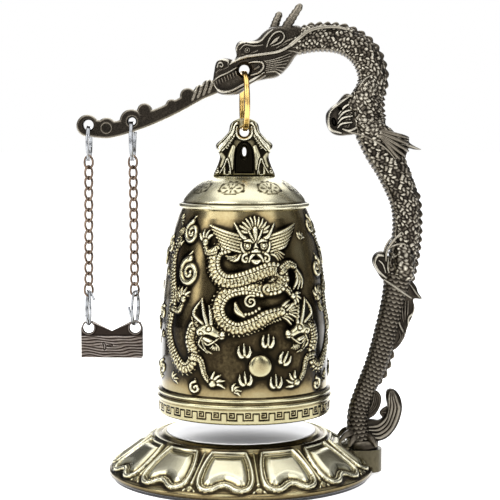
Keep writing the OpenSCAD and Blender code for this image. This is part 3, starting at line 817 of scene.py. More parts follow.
def key_band(angle, z):
    """Depth of the engraved key pattern: 1 in a line, 0 beside it."""
    period = TURN / KEY_PERIODS
    across = (angle % period) / period * 4.65
    depth = np.zeros(np.broadcast(across, z).shape)
    for path in (KEY_LINE, KEY_BOX):
        path = np.array(path)
        for p, way in zip(path[:-1], np.diff(path, axis=0)):
            _, x, y = from_segment(across, z - KEY_LOW, p, way)
            depth = np.maximum(depth, 1 - step_up(np.hypot(x, y), 0.12, 0.25))
    return depth


def bell_mouth():
    """Mouth band with the key pattern, and the two mouldings over it."""
    low = [(22.9, MOUTH_Z), (24.6, MOUTH_Z), (25.5, MOUTH_Z + 0.12), (25.85, MOUTH_Z + 0.45)]
    band = [(25.9, z) for z in np.arange(20.3, 24.05, 0.12)]
    high = [(25.95, 24.1), (26.12, 24.3), (26.2, 24.7), (26.12, 25.08), (25.85, 25.25), (25.6, 25.4),
            (25.6, 25.8), (25.8, 25.95), (26.02, 26.1), (26.1, 26.45), (26.02, 26.8), (25.7, 27.0),
            (25.1, 27.15), (25.0, 27.5), (22.9, 27.5), (22.6, 23.5)]
    profile = np.array(low + band + high)
    columns = 1280
    key = key_band(full_turn(columns)[:, None], profile[:, 1][None, :])
    key = key * (profile[:, 0] > 25.87) * (profile[:, 0] < 25.93)
    level = np.r_[[0.15, 0.4, 0.62, 0.58], [0.55] * len(band),
                  [0.4, 0.6, 0.7, 0.6, 0.38, 0.24, 0.24, 0.38, 0.6, 0.7, 0.6, 0.34, 0.2, 0.2, 0.2, 0.2]]
    # a thin dark line over the band
    level = np.where(np.abs(profile[:, 1] - 23.85) < 0.07, 0.3, level)
    shade = np.clip(level[None, :] - 0.55 * key, 0, 1)
    piece = revolved("bell_mouth_band", profile, columns, BELL_X, shade, sink_r=0.14 * key)
    dress(piece, "brass", "bell", "antique_brass", "bell_barrel")


def cap_medallions(angle, r, z):
    """Depth of the eight engraved medallions: a ring of dots round a centre, inside a circle."""
    cut = np.zeros(np.broadcast(angle, z).shape)
    for k in range(8):
        centre = PATTERN_TURN + math.radians(22.5 + 45 * k)
        swing = (angle - centre + math.pi) % TURN - math.pi
        x, y = swing * 14.5, (z - 86.9) * 1.5
        ring = np.hypot(x / 3.6, y / 2.5)
        dots = np.cos(8 * np.arctan2(y, x)) * (1 - ((ring - 0.6) / 0.26) ** 2)
        lines = np.maximum(np.maximum(1 - np.abs(ring - 1) / 0.13, 1.6 * dots), 1 - ring / 0.24)
        cut = np.maximum(cut, np.clip(lines, 0, 1) * (ring < 1.2) * (r > 9.5) * (z > 83))
    return cut


def bell_cap():
    """Smooth domed cap with faint engraved medallions, over the shoulder bead."""
    dome = smooth_line([
        (18.35, 82.4), (18.0, 83.2), (16.9, 84.6), (15.0, 86.5), (12.6, 88.3), (10.4, 89.4), (9.4, 89.8)],
                       6)
    profile = np.vstack([[(15.8, 82.0), (17.6, 82.0), (18.2, 82.1)], dome,
                         [(9.2, 90.0), (0.4, 90.0), (0.4, 87.6), (9, 87.4), (12, 86), (14.4, 84)]])
    columns = 480
    cut = cap_medallions(full_turn(columns)[:, None], profile[:, 0][None, :], profile[:, 1][None, :])
    level = np.full(len(profile), 0.72)
    level[:3] = 0.1
    level[3:6] = 0.35
    shade = np.clip(level[None, :] - 0.55 * cut, 0, 1)
    piece = revolved("bell_domed_cap", profile, columns, BELL_X, shade, sink_z=0.05 * cut)
    dress(piece, "cap", "bell", "antique_brass", "bell_cap")
    bead = smooth_line([
        (19.15, 80.75), (19.45, 81.0), (19.55, 81.4), (19.3, 81.85), (18.8, 82.1), (18.2, 82.15),
        (17.4, 81.6), (18.2, 80.9)], 4, True)
    level = np.where(bead[:, 0] > 18.9, 0.7, 0.1)
    piece = revolved("bell_shoulder_bead", bead, 360, BELL_X, level[None, :])
    dress(piece, "cap", "bell", "antique_brass", "bell_cap")


def both_sides(half, centre_x=0.0):
    """Closed outline from its right half, which starts and ends near the middle line."""
    return np.vstack([half, half[::-1] * (-1, 1)]) + (centre_x, 0)


def crown_relief(r):
    """Scroll heads, their legs and the borders of the foot's recesses."""
    for s in (-1, 1):
        at = mirrored(s, BELL_X)
        r.stroke([at(2.2, 105.6, 0.5), at(3.3, 103.2), at(4.6, 101.2, 1.2), at(6.2, 99.2, 1.5),
                  at(7.2, 98.0, 0.9)], 1.05, 0.75)
        r.stroke([at(3.4, 105.9, 0.5), at(4.2, 103.6), at(5.6, 101.8), at(7.4, 100.3, 0.8)], 0.3, 0.6)
        r.stroke([at(4.9, 102.2, 0.5), at(6.6, 100.6), at(8.0, 99.2, 0.5)], 0.26, 0.55)
        r.stroke([at(2.0, 104.9, 0.6), at(2.9, 102.0), at(4.6, 99.6), at(6.6, 97.4, 0.8)], 0.26, 0.6)
        for k in range(5):
            x, z = 3.3 + 0.42 * k, 101.1 - 0.72 * k
            r.stroke([at(x, z, 0.8), at(x + 0.7, z + 0.4, 0.8)], 0.22, 0.5, moat=0.1)
        r.stroke([at(3.2, 98.6, 0.7), at(4.0, 95.4, 1.1), at(4.1, 92.4)], 0.95, 0.45)
        r.stroke([at(6.8, 96.6, 0.7), at(6.0, 95.0), at(6.6, 93.0, 0.9)], 0.8, 0.4)
        # flame-shaped recess at the foot, with a raised pale border
        r.stroke([at(4.0, 90.6, 0.8), at(4.3, 92.8), at(5.0, 95.2, 1.1), at(5.9, 93.2),
                  at(7.2, 91.0, 0.8)], 0.24, 0.75)
        w, far, _, _ = r.near(np.array([at(5.1, 91.0)[:2], at(5.05, 93.4)[:2]]), 0.8)
        r.H[w] = np.where(far < 0.55, -1.2, r.H[w])
        r.spiral(at(8.0, 91.5), 0.85, 1.1, 90, 0.24, 0.55, -s)
    r.stroke([(BELL_X - 2.2, 104.6, 0.6), (BELL_X - 2.1, 102.0), (BELL_X, 100.9), (BELL_X + 2.1, 102.0),
              (BELL_X + 2.2, 104.6, 0.6)], 0.4, 0.5)


def bell_crown():
    """Crown of two back-to-back scroll heads over a pierced arch."""
    r = Relief((BELL_X - 9.8, 89.4), (BELL_X + 9.8, 107.8), (150, 142))
    crown_relief(r)
    outline = both_sides(smooth_line(CROWN_HALF, 5), BELL_X)
    hollow = outline_distance(r, both_sides(smooth_line(ARCH_HALF, 5), BELL_X))
    r.H = np.where(hollow < 0.35, r.H * step_up(hollow, 0.0, 0.35), r.H)
    shade = worn(r.H + 0.5, 0.5, 1.0, 3) + 0.12
    # painted shade: the arch's hollow is painted near black
    shade = np.where(hollow < 0.15, 0.02, shade)
    sink = 2.6
    r.H = r.H - sink * step_up(-hollow, -0.05, 0.3)
    distance = outline_distance(r, outline)
    distance = np.maximum(distance, -circle_distance(r, BELL_X, 103.1, 1.4))
    distance = np.maximum(distance, 0.6 - np.hypot(r.A - BELL_X, 0.45 * (r.B - 97.2)))
    half_depth = np.interp(r.B, (90, 97, 101.4, 107.2), (4.2, 3.4, 2.0, 1.9)) - 0.3
    half_depth = np.where(hollow < 0, np.maximum(half_depth, 0.4 + sink), half_depth)
    piece = casting("bell_scroll_crown", r, distance, half_depth, 0.8, 0.45, np.clip(shade, 0, 1))
    dress(piece, "cap", "bell", "antique_brass", "bell_crown")


def helix_ring(name, node, wire, turn, yaw, turns, splay, start, wear_and_painted_light):
    """Split ring across the X axis, in a CAD ring's place: wire side by side, with free ends."""
    low, high = box_mm(node)
    centre = (low + high) / 2
    radius = (high[2] - low[2]) / 2 - wire
    t = np.linspace(0, 1, 150)
    angle = math.radians(start) + turns * TURN * t
    x = turn * (2 * t - 1) + splay * (np.maximum(0.06 - t, 0) * -16 + np.maximum(t - 0.94, 0) * 16)
    y = radius * np.cos(angle)
    c, s = math.cos(math.radians(yaw)), math.sin(math.radians(yaw))
    line = np.stack([centre[0] + x * c - y * s, centre[1] + x * s + y * c,
                     centre[2] + radius * np.sin(angle)], 1)
    return tube(name, line, wire, 14, wear_and_painted_light=wear_and_painted_light)


def bell_ring():
    piece = helix_ring("bell_split_ring", "bell_ring", 0.55, 0.52, 6.5, 2.0, 0, 30, 0.6)
    dress(piece, "gold", "hanging_ring", "gold_wire", "bell_ring")


# ---------------------------------------------------------------- base

PETALS = 12
PETAL_R = 34.0                  # radius at which a petal is drawn flat
PETAL_TURN = math.radians(-67)  # direction of one petal's middle
BASE_TOP = [(22.45, 13.4), (22.9, 13.4), (23.5, 13.2), (24.3, 12.55), (25.0, 12.3), (25.6, 12.75),
            (26.1, 12.7), (26.5, 11.8), (29.5, 9.7), (33.0, 7.2), (36.4, 4.8), (38.6, 3.2), (39.3, 2.85),
            (39.75, 2.5)]
# rim, underside and hollow of the base: radius, height and brightness
BASE_UNDER = [(39.8, 2.2, 0.34), (39.8, 1.35, 0.16), (39.5, 1.02, 0.1), (37.4, 1.0, 0.06),
              (35.2, 2.9, 0.06), (31.8, 5.4, 0.06), (28.2, 7.9, 0.06), (23, 10.2, 0.06), (1, 10.3, 0.06),
              (1, 12.7, 0.1), (22.4, 12.78, 0.3)]


def petal_relief():
    """One lotus petal and the half gaps beside it."""
    half = math.pi * PETAL_R / PETALS
    r = Relief((-half, BASE_TOP[0][0]), (half, BASE_TOP[-1][0]), (93, 92))
    side = smooth_line([
        (5.9, 26.6), (7.0, 29.4), (7.5, 32.4), (7.5, 35.0), (6.7, 37.2), (4.8, 38.3), (2.9, 38.0),
        (1.3, 37.0), (0, 36.6)], 6)
    inner = outline_distance(r, np.vstack([side, side[-2::-1] * (-1, 1)]))
    # the small petals that show in the gaps
    for s in (-1, 1):
        r.stroke([(s * half, 26.6, 0.6), (s * half, 34.6), (s * half, 36.4, 1.4)], 0.34, 0.4, moat=0.1)
        r.stroke([(s * (half - 1.5), 38.8, 0.5), (s * half, 37.3, 1.2)], 0.45, 0.5, moat=0.15)
        r.disc((s * half, 38.1), 0.9, 0.35, 0.2)
    r.H = np.where(inner < 0, 0.12 + 1.05 * np.sqrt(step_up(-inner, 1.15, 3.4)), r.H)
    # rolled border of two turns, with a groove inside each
    outside_root = r.B > 26.7
    for offset, width, height in ((0.0, 0.58, 0.95), (-0.95, 0.2, 0.45)):
        close = np.abs(inner - offset)
        top = height * np.sqrt(ridge(close, width))
        r.H = np.where((close < width) & outside_root, np.maximum(top, 0.3 * r.H), r.H)
    groove = (np.abs(inner + 0.66) < 0.16) | (np.abs(inner + 1.2) < 0.14)
    r.H = np.where(groove & outside_root, 0.02, r.H)
    return r, inner


def lotus_base():
    r, inner = petal_relief()
    height = np.tile(r.H[:-1], (PETALS, 1)) * step_up(r.b, 26.3, 26.9)
    inner = np.tile(inner[:-1], (PETALS, 1))
    shade = worn(height, 0.0, 0.7, 2) + 0.2 * step_up(-inner, 1.4, 2.6) + 0.18
    shade = np.where((np.abs(r.b - 25.7) < 0.35)[None, :], 0.75, shade)
    shade = np.where(((r.b > 23.6) & (r.b < 25.1))[None, :], 0.3, shade)
    columns = len(height)
    angle = PETAL_TURN + (np.arange(columns) / columns * 2 - 1 / PETALS) * math.pi
    surface = np.interp(r.b, *np.array(BASE_TOP).T)
    slope = np.gradient(surface, r.b)
    lean = 1 / np.sqrt(1 + slope ** 2)
    under_r, under_z, under_shade = np.array(BASE_UNDER).T
    radius = beside(r.b + height * lean * -slope * 0.8, under_r)
    level = beside(surface + height * lean, under_z)
    shade = np.clip(beside(shade, under_shade), 0, 1)
    piece = grid_object("lotus_petal_base", around(angle, radius, level), shade, True)
    dress(piece, "brass", "stand", "antique_brass", "lotus_base")


# ---------------------------------------------------------------- dragon

# centre line of the dragon: x, z and radius
SPINE = [
    (16, 129.4, 3.9), (23, 130.6, 4), (30.5, 129.8, 4.2), (36.2, 126, 4.3), (38.8, 119.5, 4.2),
    (37.6, 112.5, 4.3), (37.8, 105.8, 4.8), (41, 98.5, 5), (45.4, 91, 4.9), (48.6, 82.5, 4.3),
    (49.3, 75, 4.1), (48.6, 67.5, 4.3), (47.2, 60.5, 4.3), (45.8, 53.5, 3.6), (43.8, 44.5, 3.5),
    (40.9, 34, 3.4), (37.6, 26, 3.1), (35.5, 19.5, 3.2), (35.3, 14.5, 3.4), (36, 10.4, 3.8)]
SPINE_STEPS = 36
SPINE_LINE = smooth_line(SPINE, SPINE_STEPS)
SPINE_RUN = lengths(SPINE_LINE[:, :2])
# cross-section of the ridge: depth, share of its height and brightness
RIDGE_SECTION = [(0.75, -0.9, 0.15), (0.6, 0.0, 0.2), (0.42, 0.55, 0.35), (0.14, 1.0, 0.85),
                 (-0.14, 1.0, 0.85), (-0.42, 0.55, 0.35), (-0.6, 0.0, 0.2), (-0.75, -0.9, 0.15)]
# depth of each horn, then its x and z
HORNS = [(2.0, [(8.8, 131.2), (9.8, 133.6), (10.6, 136.0), (11.7, 138.6)]),
         (-2.0, [(12.0, 131.5), (14.0, 134.8), (15.8, 137.6), (17.8, 140.6)])]
WHISKER = [(14.5, 4.0, 128.4), (17.2, 4.3, 130.6), (20.4, 3.9, 132.8), (24.4, 3.5, 133.7),
           (28.4, 3.2, 133.7), (31.2, 3.4, 133.1)]
# x and z of each foot claw's root and tip
FOOT_CLAWS = [((33.0, 12.6), (29.6, 10.6)), ((34.6, 11.6), (32.4, 8.9)), ((38.6, 11.4), (40.6, 8.8))]
# radius, height and brightness round the foot's collar
COLLAR = [(0.3, 10.9, 0.3), (3.4, 10.7, 0.4), (4.4, 10.3, 0.6), (4.75, 9.7, 0.45), (4.8, 9.0, 0.3),
          (4.7, 8.3, 0.3), (4.55, 7.9, 0.5), (0.3, 7.9, 0.1)]


def spine_length(u):
    """Length along the spine at point number u of the list."""
    return float(np.interp(u * SPINE_STEPS, np.arange(len(SPINE_RUN)), SPINE_RUN))


def spine_place(run):
    """Centre, radius and outward (dorsal) direction of the trunk at lengths along it."""
    x, z, r = (np.interp(run, SPINE_RUN, column) for column in SPINE_LINE.T)
    dx, dz = (np.interp(run + 0.4, SPINE_RUN, column) - np.interp(run - 0.4, SPINE_RUN, column)
              for column in SPINE_LINE.T[:2])
    size = np.hypot(dx, dz)
    return x, z, r, -dz / size, dx / size


def trunk(name, start, end, pitch, bead, node):
    """Scaled trunk of the dragon between two points of the spine, with belly plates on its inner side."""
    first, last = spine_length(start), spine_length(end)
    run = np.linspace(first, last, int((last - first) / 0.2))[:, None]
    x, z, r, out_x, out_z = spine_place(run)
    angle = full_turn(140)[None, :]
    back = angle - math.pi
    count = round(TURN * 4.2 / pitch)
    stray = 0.2 if bead else 0.05
    field = scale_field(run / pitch + stray * np.sin(9 * back + 1.3 * run),
                        back / TURN * count + stray * np.sin(2.3 * run + 5 * back), bead)
    belly = np.abs(np.arctan2(np.sin(angle), np.cos(angle)))
    plates = np.abs(np.sin(math.pi * run / 1.5)) ** 0.6 * np.ones_like(angle)
    field = np.where(belly < math.radians(34), 0.75 * plates, field)
    field = np.where(np.abs(belly - math.radians(37)) < math.radians(4), 0.55 + 0.3 * plates, field)
    radius = r + (0.75 if bead else 0.55) * field - (0.5 if bead else 0.32)
    across = radius * -np.cos(angle)
    points = np.stack([x + across * out_x, radius * np.sin(angle), z + across * out_z], -1)
    shade = np.clip(0.02 + (0.62 if bead else 0.5) * field + 1.0 * (field - blur(field, 3)), 0, 1)
    bronze(grid_object(name, points, shade), node)


def dorsal_ridge(name, start, end, tooth, height):
    """Saw-toothed ridge along the outer side of the trunk."""
    run = np.arange(spine_length(start), spine_length(end), 0.16)
    x, z, r, out_x, out_z = spine_place(run)
    phase = (run / tooth) % 1
    rise = height * (0.25 + 0.75 * np.sin(math.pi * phase ** 1.4) ** 0.8)
    rise = rise * np.minimum(step_up(run, run[0], run[0] + 3), step_up(-run, -run[-1], -run[-1] + 3))
    rows = []
    for depth, share, _ in RIDGE_SECTION:
        away = r + (rise * share if share > 0 else share)
        rows.append(np.stack([x + out_x * away, np.full_like(run, depth), z + out_z * away], 1))
    bronze(grid_object(name, np.stack(rows, 1), np.array([wear_and_painted_light for _, _, wear_and_painted_light in RIDGE_SECTION])))


def head_relief(r):
    """Everything that is drawn on the head."""
    # scales on the crown of the head, then the beard under the cheek
    scales = scale_field((r.A + 0.3 * r.B) / 1.3, (r.B - 0.3 * r.A) / 1.3)
    r.H = 0.35 * scales * step_up(r.A, 8.5, 11) * step_up(r.B, 126.5, 128)
    for k in range(7):
        f = k / 6
        r.stroke([(5.6 + 1.2 * f, 123.6 - 3.2 * f, 0.5), (9.8 + 0.2 * f, 124.2 - 3.4 * f),
                  (15.2 - 3.4 * f, 126.4 - 6.6 * f, 0.3)], 0.42, 0.6, moat=0.18)
    for k in range(4):
        r.stroke([(10.5, 127.6, 0.5), (13.5, 128.6 + 0.9 * k - 1.6), (17.6, 128.4 + 1.5 * k - 2.0, 0.3)],
                 0.4, 0.5, moat=0.16)
    # ear with its inner leaf
    r.stroke([(7.6, 127.9, 0.5), (8.3, 130.0), (9.8, 131.9), (11.8, 132.4, 0.8), (12.8, 131.0),
              (11.6, 129.2), (9.0, 128.2, 0.5)], 0.34, 0.85)
    r.stroke([(8.6, 128.6, 0.4), (10.2, 129.9, 1.2), (11.4, 131.0, 0.4)], 0.55, 0.7)
    # brow ridge, eye and the swirl over it
    r.stroke([(-1.5, 126.6, 0.6), (-1.2, 128.4), (0.6, 129.4), (3.2, 129.3), (5.6, 129.6, 0.9),
              (7.6, 131.6, 0.9), (9.4, 133.0, 0.4)], 0.42, 0.8)
    r.stroke([(-0.4, 127.2, 0.5), (1.2, 128.6), (4.0, 128.3), (6.4, 128.6, 0.6)], 0.3, 0.55)
    r.disc((1.9, 127.0), 0.95, 0.75, 0.35)
    r.disc((1.9, 127.0), 0.4, 0.9, 0.2)
    r.stroke([(0.2, 125.9, 0.4), (2.2, 125.8, 0.9), (5.0, 126.9, 0.5)], 0.3, 0.6)
    # nostril curl and the muzzle's wrinkles
    r.stroke([(-8.0, 121.0, 0.7), (-7.7, 123.4), (-6.0, 124.4), (-3.9, 123.9), (-3.6, 122.6, 0.6)], 0.4,
             0.7)
    r.spiral((-5.9, 122.6), 1.05, 1.1, 200, 0.34, 0.75, -1)
    for k in range(3):
        r.stroke([(-7.4 + 1.1 * k, 120.6 + 0.4 * k, 0.5), (-6.0 + 1.2 * k, 121.5 + 0.35 * k, 0.6)], 0.22,
                 0.5, moat=0.1)
    # lips: a smooth upper lip, a row of teeth, and the rope-edged lower jaw
    r.stroke([(-8.3, 118.0, 0.7), (-6.4, 119.3), (-3.6, 120.6), (-0.9, 122.2, 0.7)], 0.34, 0.75)
    for k in range(9):
        f = k / 8
        r.stroke([(-7.3 + 6.6 * f, 118.1 + 3.1 * f), (-6.9 + 6.6 * f, 116.9 + 3.0 * f, 0.3)], 0.26, 0.42,
                 moat=0.12)
    jaw = [(-8.2, 117.4, 0.7), (-7.4, 115.9), (-5.2, 114.9), (-2.6, 115.3), (0.6, 117.0), (3.8, 118.7),
           (6.9, 120.6, 0.6)]
    r.stroke(jaw, 0.42, 0.8)
    r.stroke([(p[0] + 0.3, p[1] - 0.9, 0.8) for p in jaw[2:]], 0.34, 0.45)
    # lobe round the jaw's hole, and the long whisker
    r.stroke([(3.0, 119.8, 0.7), (5.2, 120.4), (6.6, 122.0), (6.2, 123.4), (4.2, 123.6),
              (2.4, 123.4, 0.6)], 0.45, 0.7)
    r.stroke([(4.0, 121.4, 0.5), (5.3, 122.2, 0.8)], 0.7, 0.45)
    r.stroke([(-3.2, 122.9, 0.5), (-1.6, 124.1), (1.6, 125.1, 1.1), (6.4, 125.8, 1.1), (11.1, 126.6, 1.1),
              (14.5, 128.4, 1.1), (17.2, 130.8)], 0.55, 1.0, moat=0.25)


def dragon_head():
    """Head in profile, mirrored on its two sides, with the bored lower jaw."""
    outline = smooth_line([
        (-4, 113.9), (-7, 114.6), (-8.4, 116.6), (-8.2, 119), (-7.9, 121), (-7.3, 123.6), (-5.6, 124.8),
        (-3.4, 124.7), (-2.2, 124.4), (-1.3, 125.6), (-1.6, 128), (-0.4, 129.8), (3, 129.9), (5, 130.7),
        (6.9, 132.6), (9, 133.8), (13, 134.4), (18, 133.9), (18.6, 128), (16, 125.0), (13.8, 121.8),
        (10.7, 119.2), (6.8, 118.5), (4.2, 117.8), (2.1, 116.4), (-0.4, 114.4)], 5, True)
    r = Relief((-9.4, 112.8), (19.6, 135.8), (207, 165))
    # thickness: jaw, muzzle, brow and cheek swell out from the plate
    swell = np.zeros_like(r.A)
    for x, z, radius, height in ((10, 127, 8.5, 1.7), (3, 127.2, 3.6, 1.0), (-5, 122, 3.8, 0.7),
                                 (15, 129.5, 6, 1.3), (-3, 117, 6, 0.4)):
        swell = np.maximum(swell, height * ridge(np.hypot(r.A - x, r.B - z), radius) ** 0.6)
    swell = blur(swell, 3)
    head_relief(r)
    hole = circle_distance(r, BELL_X, 121.3, 1.52)
    distance = np.maximum(outline_distance(r, outline), -hole)
    shade = 0.14 + 0.7 * worn(r.H + 0.4, 0.4, 1.1, 3)
    shade = np.where(hole < 0.75, 0.04, shade)
    sink = np.clip(1 - hole / 0.9, 0, 1)
    r.H = r.H * (1 - sink) - 0.75 * sink
    bronze(casting("dragon_head_casting", r, distance, 2.15 + swell, 1.5, 0.3, shade), "dragon_head")


def side_label(side):
    return "front" if side < 0 else "back"


def tapered(name, points, per, radius, sides, wear_and_painted_light, *nodes, flat=1.0):
    """Bronze tube along a smooth path. radius and wear are functions of the share of its length."""
    path = smooth_line(points, per)
    t = np.linspace(0, 1, len(path))[:, None]
    bronze(tube(name, path, radius(t), sides, wear_and_painted_light=wear_and_painted_light(t), flat=flat), *nodes)


def dragon_horns():
    def radius(t):
        return (1.6 - 0.6 * t) * (1 + 0.07 * np.sin(46 * t)) * np.sqrt(np.clip((1.02 - t) * 8, 0, 1))
    for k, (y, line) in enumerate(HORNS):
        tapered(f"dragon_horn_{k}", [(x, y, z) for x, z in line], 10, radius, 20, lambda t: 0.25 + 0.5 * t,
                "dragon_horns", flat=0.8)


def whiskers():
    """Long whisker on each side, from the cheek over the neck."""
    def radius(t):
        return 0.68 * (1 - 0.5 * t) * np.sqrt(np.clip((1.02 - t) * 16, 0, 1))
    for k, side in enumerate((-1, 1)):
        points = [(x, side * y, z) for x, y, z in WHISKER]
        tapered(f"dragon_whisker_{k}", points, 12, radius, 14, lambda t: 0.8)


def strand(name, points, radius, wear_and_painted_light=0.8):
    """Thin raised contour on both sides of the dragon, from points of x, z and depth."""
    for side in (-1, 1):
        tapered(f"{name}_{side_label(side)}", [(x, side * y, z) for x, z, y in points], 8,
                lambda t: radius * (0.35 + 0.65 * np.sin(math.pi * np.clip(t, 0.03, 0.97)) ** 0.5), 10,
                lambda t: wear_and_painted_light)


def muscle(name, points, scales):
    """Scaled limb mass on both sides of the trunk, from points of x, z, depth and radius."""
    line = smooth_line(points, 14)
    angle = full_turn(56)[None, :]
    t = np.linspace(0, 1, len(line))[:, None]
    taper = np.sqrt(np.clip(t * 9, 0, 1) * np.clip((1 - t) * 9, 0, 1) + 1e-4)
    for side in (-1, 1):
        path = np.stack([line[:, 0], side * line[:, 2], line[:, 1]], 1)
        run = lengths(path)[:, None]
        field = scale_field(run / scales + 0.2 * np.sin(5 * angle + 1.9 * run),
                            angle / TURN * round(14 / scales) + 0.2 * np.sin(2.6 * run), True)
        radius = line[:, 3:4] * taper + 0.32 * field * taper
        shade = np.clip(0.1 + 0.5 * field + 1.2 * (field - blur(field, 2)), 0, 1)
        bronze(limb_tube(f"{name}_{side_label(side)}", path, radius, shade))


def foreleg():
    """Shoulder, upper arm, knee ledge, a paw with one long and one small hollow, and elbow ribs."""
    muscle("dragon_shoulder", [
        (39.2, 119.0, 3.0, 1.8), (37.0, 115.4, 3.2, 2.6), (34.6, 112.0, 2.6, 2.4),
        (33.0, 109.2, 2.2, 2.0)], 1.25)
    muscle("dragon_upper_arm", [
        (34.2, 107.0, 2.4, 1.6), (38.0, 104.6, 3.2, 2.4), (42.4, 102.4, 3.4, 2.3),
        (45.2, 99.8, 3.0, 1.6)], 1.25)
    strand("dragon_arm_contour", [
        (38.8, 119.8, 4.1), (36.6, 118.6, 4.4), (34.9, 116.0, 4.2), (34.6, 113.4, 3.6)], 0.3)
    strand("dragon_knee_ledge", [(30.6, 113.6, 1.4), (33.0, 113.6, 3.2), (35.2, 113.0, 4.0)], 0.42)
    r = Relief((24.4, 100.6), (38.4, 115.6), (117, 125))
    outline = smooth_line([
        (31, 114.4), (33.6, 113.4), (36.4, 110), (37, 105), (34.4, 102.6), (31.4, 102.0), (29.2, 101.9),
        (27, 102.7), (25.5, 105), (25.3, 108.1), (26.6, 110.2), (28.4, 111.6)], 6, True)
    r.stroke([(33.6, 112.2), (31.6, 108.6), (31.2, 105, 0.8)], 1.5, 0.5, scales=1.1)
    r.stroke([(32.0, 113.4, 0.6), (29.2, 111.6), (26.6, 109.4), (25.9, 106.4), (26.6, 103.8),
              (29.6, 102.8, 0.7)], 0.4, 0.7)
    for k in range(4):
        r.stroke([(33.4 - 0.2 * k, 111.6 - 1.9 * k, 0.6), (30.8 - 0.3 * k, 110.6 - 1.7 * k),
                  (28.9 - 0.1 * k, 108.2 - 1.3 * k, 0.4)], 0.42, 0.7, moat=0.2)
    r.stroke([(34.6, 104.6, 0.5), (32.2, 103.4), (30.2, 103.9, 0.6)], 0.55, 0.6)
    shade = np.clip(worn(r.H + 0.4, 0.4, 1.0, 3) + 0.05, 0, 1)
    for x, z, size, lean in ((27.6, 106.0, 1.25, 0.25), (29.3, 109.9, 0.75, 0.9)):
        across = (r.A - x) * math.cos(lean) + (r.B - z) * math.sin(lean)
        up = (r.B - z) * math.cos(lean) - (r.A - x) * math.sin(lean)
        dip = np.clip(1 - np.hypot(across * 1.5, up * 0.8) / size, 0, 1)
        r.H = r.H - 1.2 * step_up(dip, 0, 0.6)
        shade = shade * (1 - step_up(dip, 0.02, 0.3))
    bronze(casting("dragon_forepaw", r, outline_distance(r, outline), 2.6, 1.4, 0.35, shade),
           "dragon_foreleg")
    strand("dragon_arm_edge", [
        (31.6, 103.0, 2.6), (35.6, 102.2, 3.9), (39.6, 100.4, 4.7), (43.2, 97.8, 4.9), (45.6, 95.0, 4.4)],
           0.34, 0.7)
    for k, (x, z) in enumerate(((49.7, 101.3), (50.0, 99.4), (49.7, 97.4), (48.9, 95.6), (47.6, 94.2))):
        root = (39.6 + 0.3 * k, 104.2 - 0.5 * k, 4.4)
        middle = ((43.4 + 2 * x) / 3, (102.9 - k + 2 * z) / 3, 3.9)
        strand(f"dragon_elbow_rib_{k}", [root, (43.4, 102.9 - k, 5.0), middle, (x, z, 1.1)], 0.62, 0.55)


def elbow_fin():
    """Ribs that fan out behind the elbow, and a spike."""
    r = Relief((42, 93.4), (54.4, 103), (104, 80))
    outline = smooth_line([
        (43, 99.6), (45.2, 101.8), (47.8, 102.0), (49.9, 101.3), (50.2, 99.9), (52.0, 98.7), (53.7, 97.8),
        (51.8, 97.8), (49.9, 98.1), (49.4, 96.6), (48.3, 94.3), (45.6, 94.6), (43.4, 96.2)], 5, True)
    r.fan((43.4, 99.0), (26, -42), (7.2, 6.4), 6, 0.5, 0.7, 0.06)
    r.stroke([(47.8, 99.4, 0.8), (50.4, 98.8), (53.6, 97.8, 0.3)], 0.4, 0.6)
    bronze(casting("dragon_elbow_fan", r, outline_distance(r, outline), 0.9, 0.7, 0.35), "dragon_elbow_fin")


def hind_leg():
    """Haunch, its contours, and the curled foot."""
    muscle("dragon_haunch", [
        (47.2, 70.4, 2.6, 1.8), (48.4, 66.6, 3.2, 2.7), (48.6, 62.4, 3.2, 2.9), (49.0, 58.6, 2.4, 2.2)],
           1.35)
    strand("dragon_thigh_contour", [
        (47.6, 73.4, 3.9), (44.8, 70.2, 3.8), (43.4, 67.6, 3.2), (43.2, 64.6, 2.8)], 0.4)
    strand("dragon_thigh_fold", [
        (43.8, 68.6, 3.4), (46.6, 69.8, 4.2), (48.8, 69.6, 4.3), (47.2, 67.2, 4.5), (45.4, 66.0, 4.0)],
           0.32)
    strand("dragon_hip_edge", [
        (42.6, 59.2, 2.8), (45.4, 57.4, 4.0), (48.6, 55.2, 3.4), (51.0, 53.5, 1.9)], 0.42)
    r = Relief((38.4, 57.4), (48, 68.4), (87, 100))
    outline = smooth_line([
        (39.3, 65.4), (40.4, 67.0), (42.4, 67.4), (44, 66), (47, 63), (46, 58.8), (42.6, 58.8),
        (40.6, 61.4), (39.4, 63.6)], 6, True)
    r.stroke([(43.4, 59.6, 0.7), (41.0, 61.8), (39.9, 64.4), (40.9, 66.3), (42.6, 66.2, 0.8)], 0.42, 0.7)
    r.stroke([(43.2, 61.2, 0.6), (42.4, 63.6), (41.2, 64.8, 0.7)], 0.34, 0.6)
    r.stroke([(44.6, 59.6, 0.6), (43.8, 63.0), (44.2, 66.0, 0.7)], 0.36, 0.6)
    shade = np.clip(worn(r.H + 0.4, 0.4, 1.0, 3) + 0.1, 0, 1)
    bronze(casting("dragon_hind_foot", r, outline_distance(r, outline), 2.2, 1.3, 0.3, shade),
           "dragon_hind_leg")


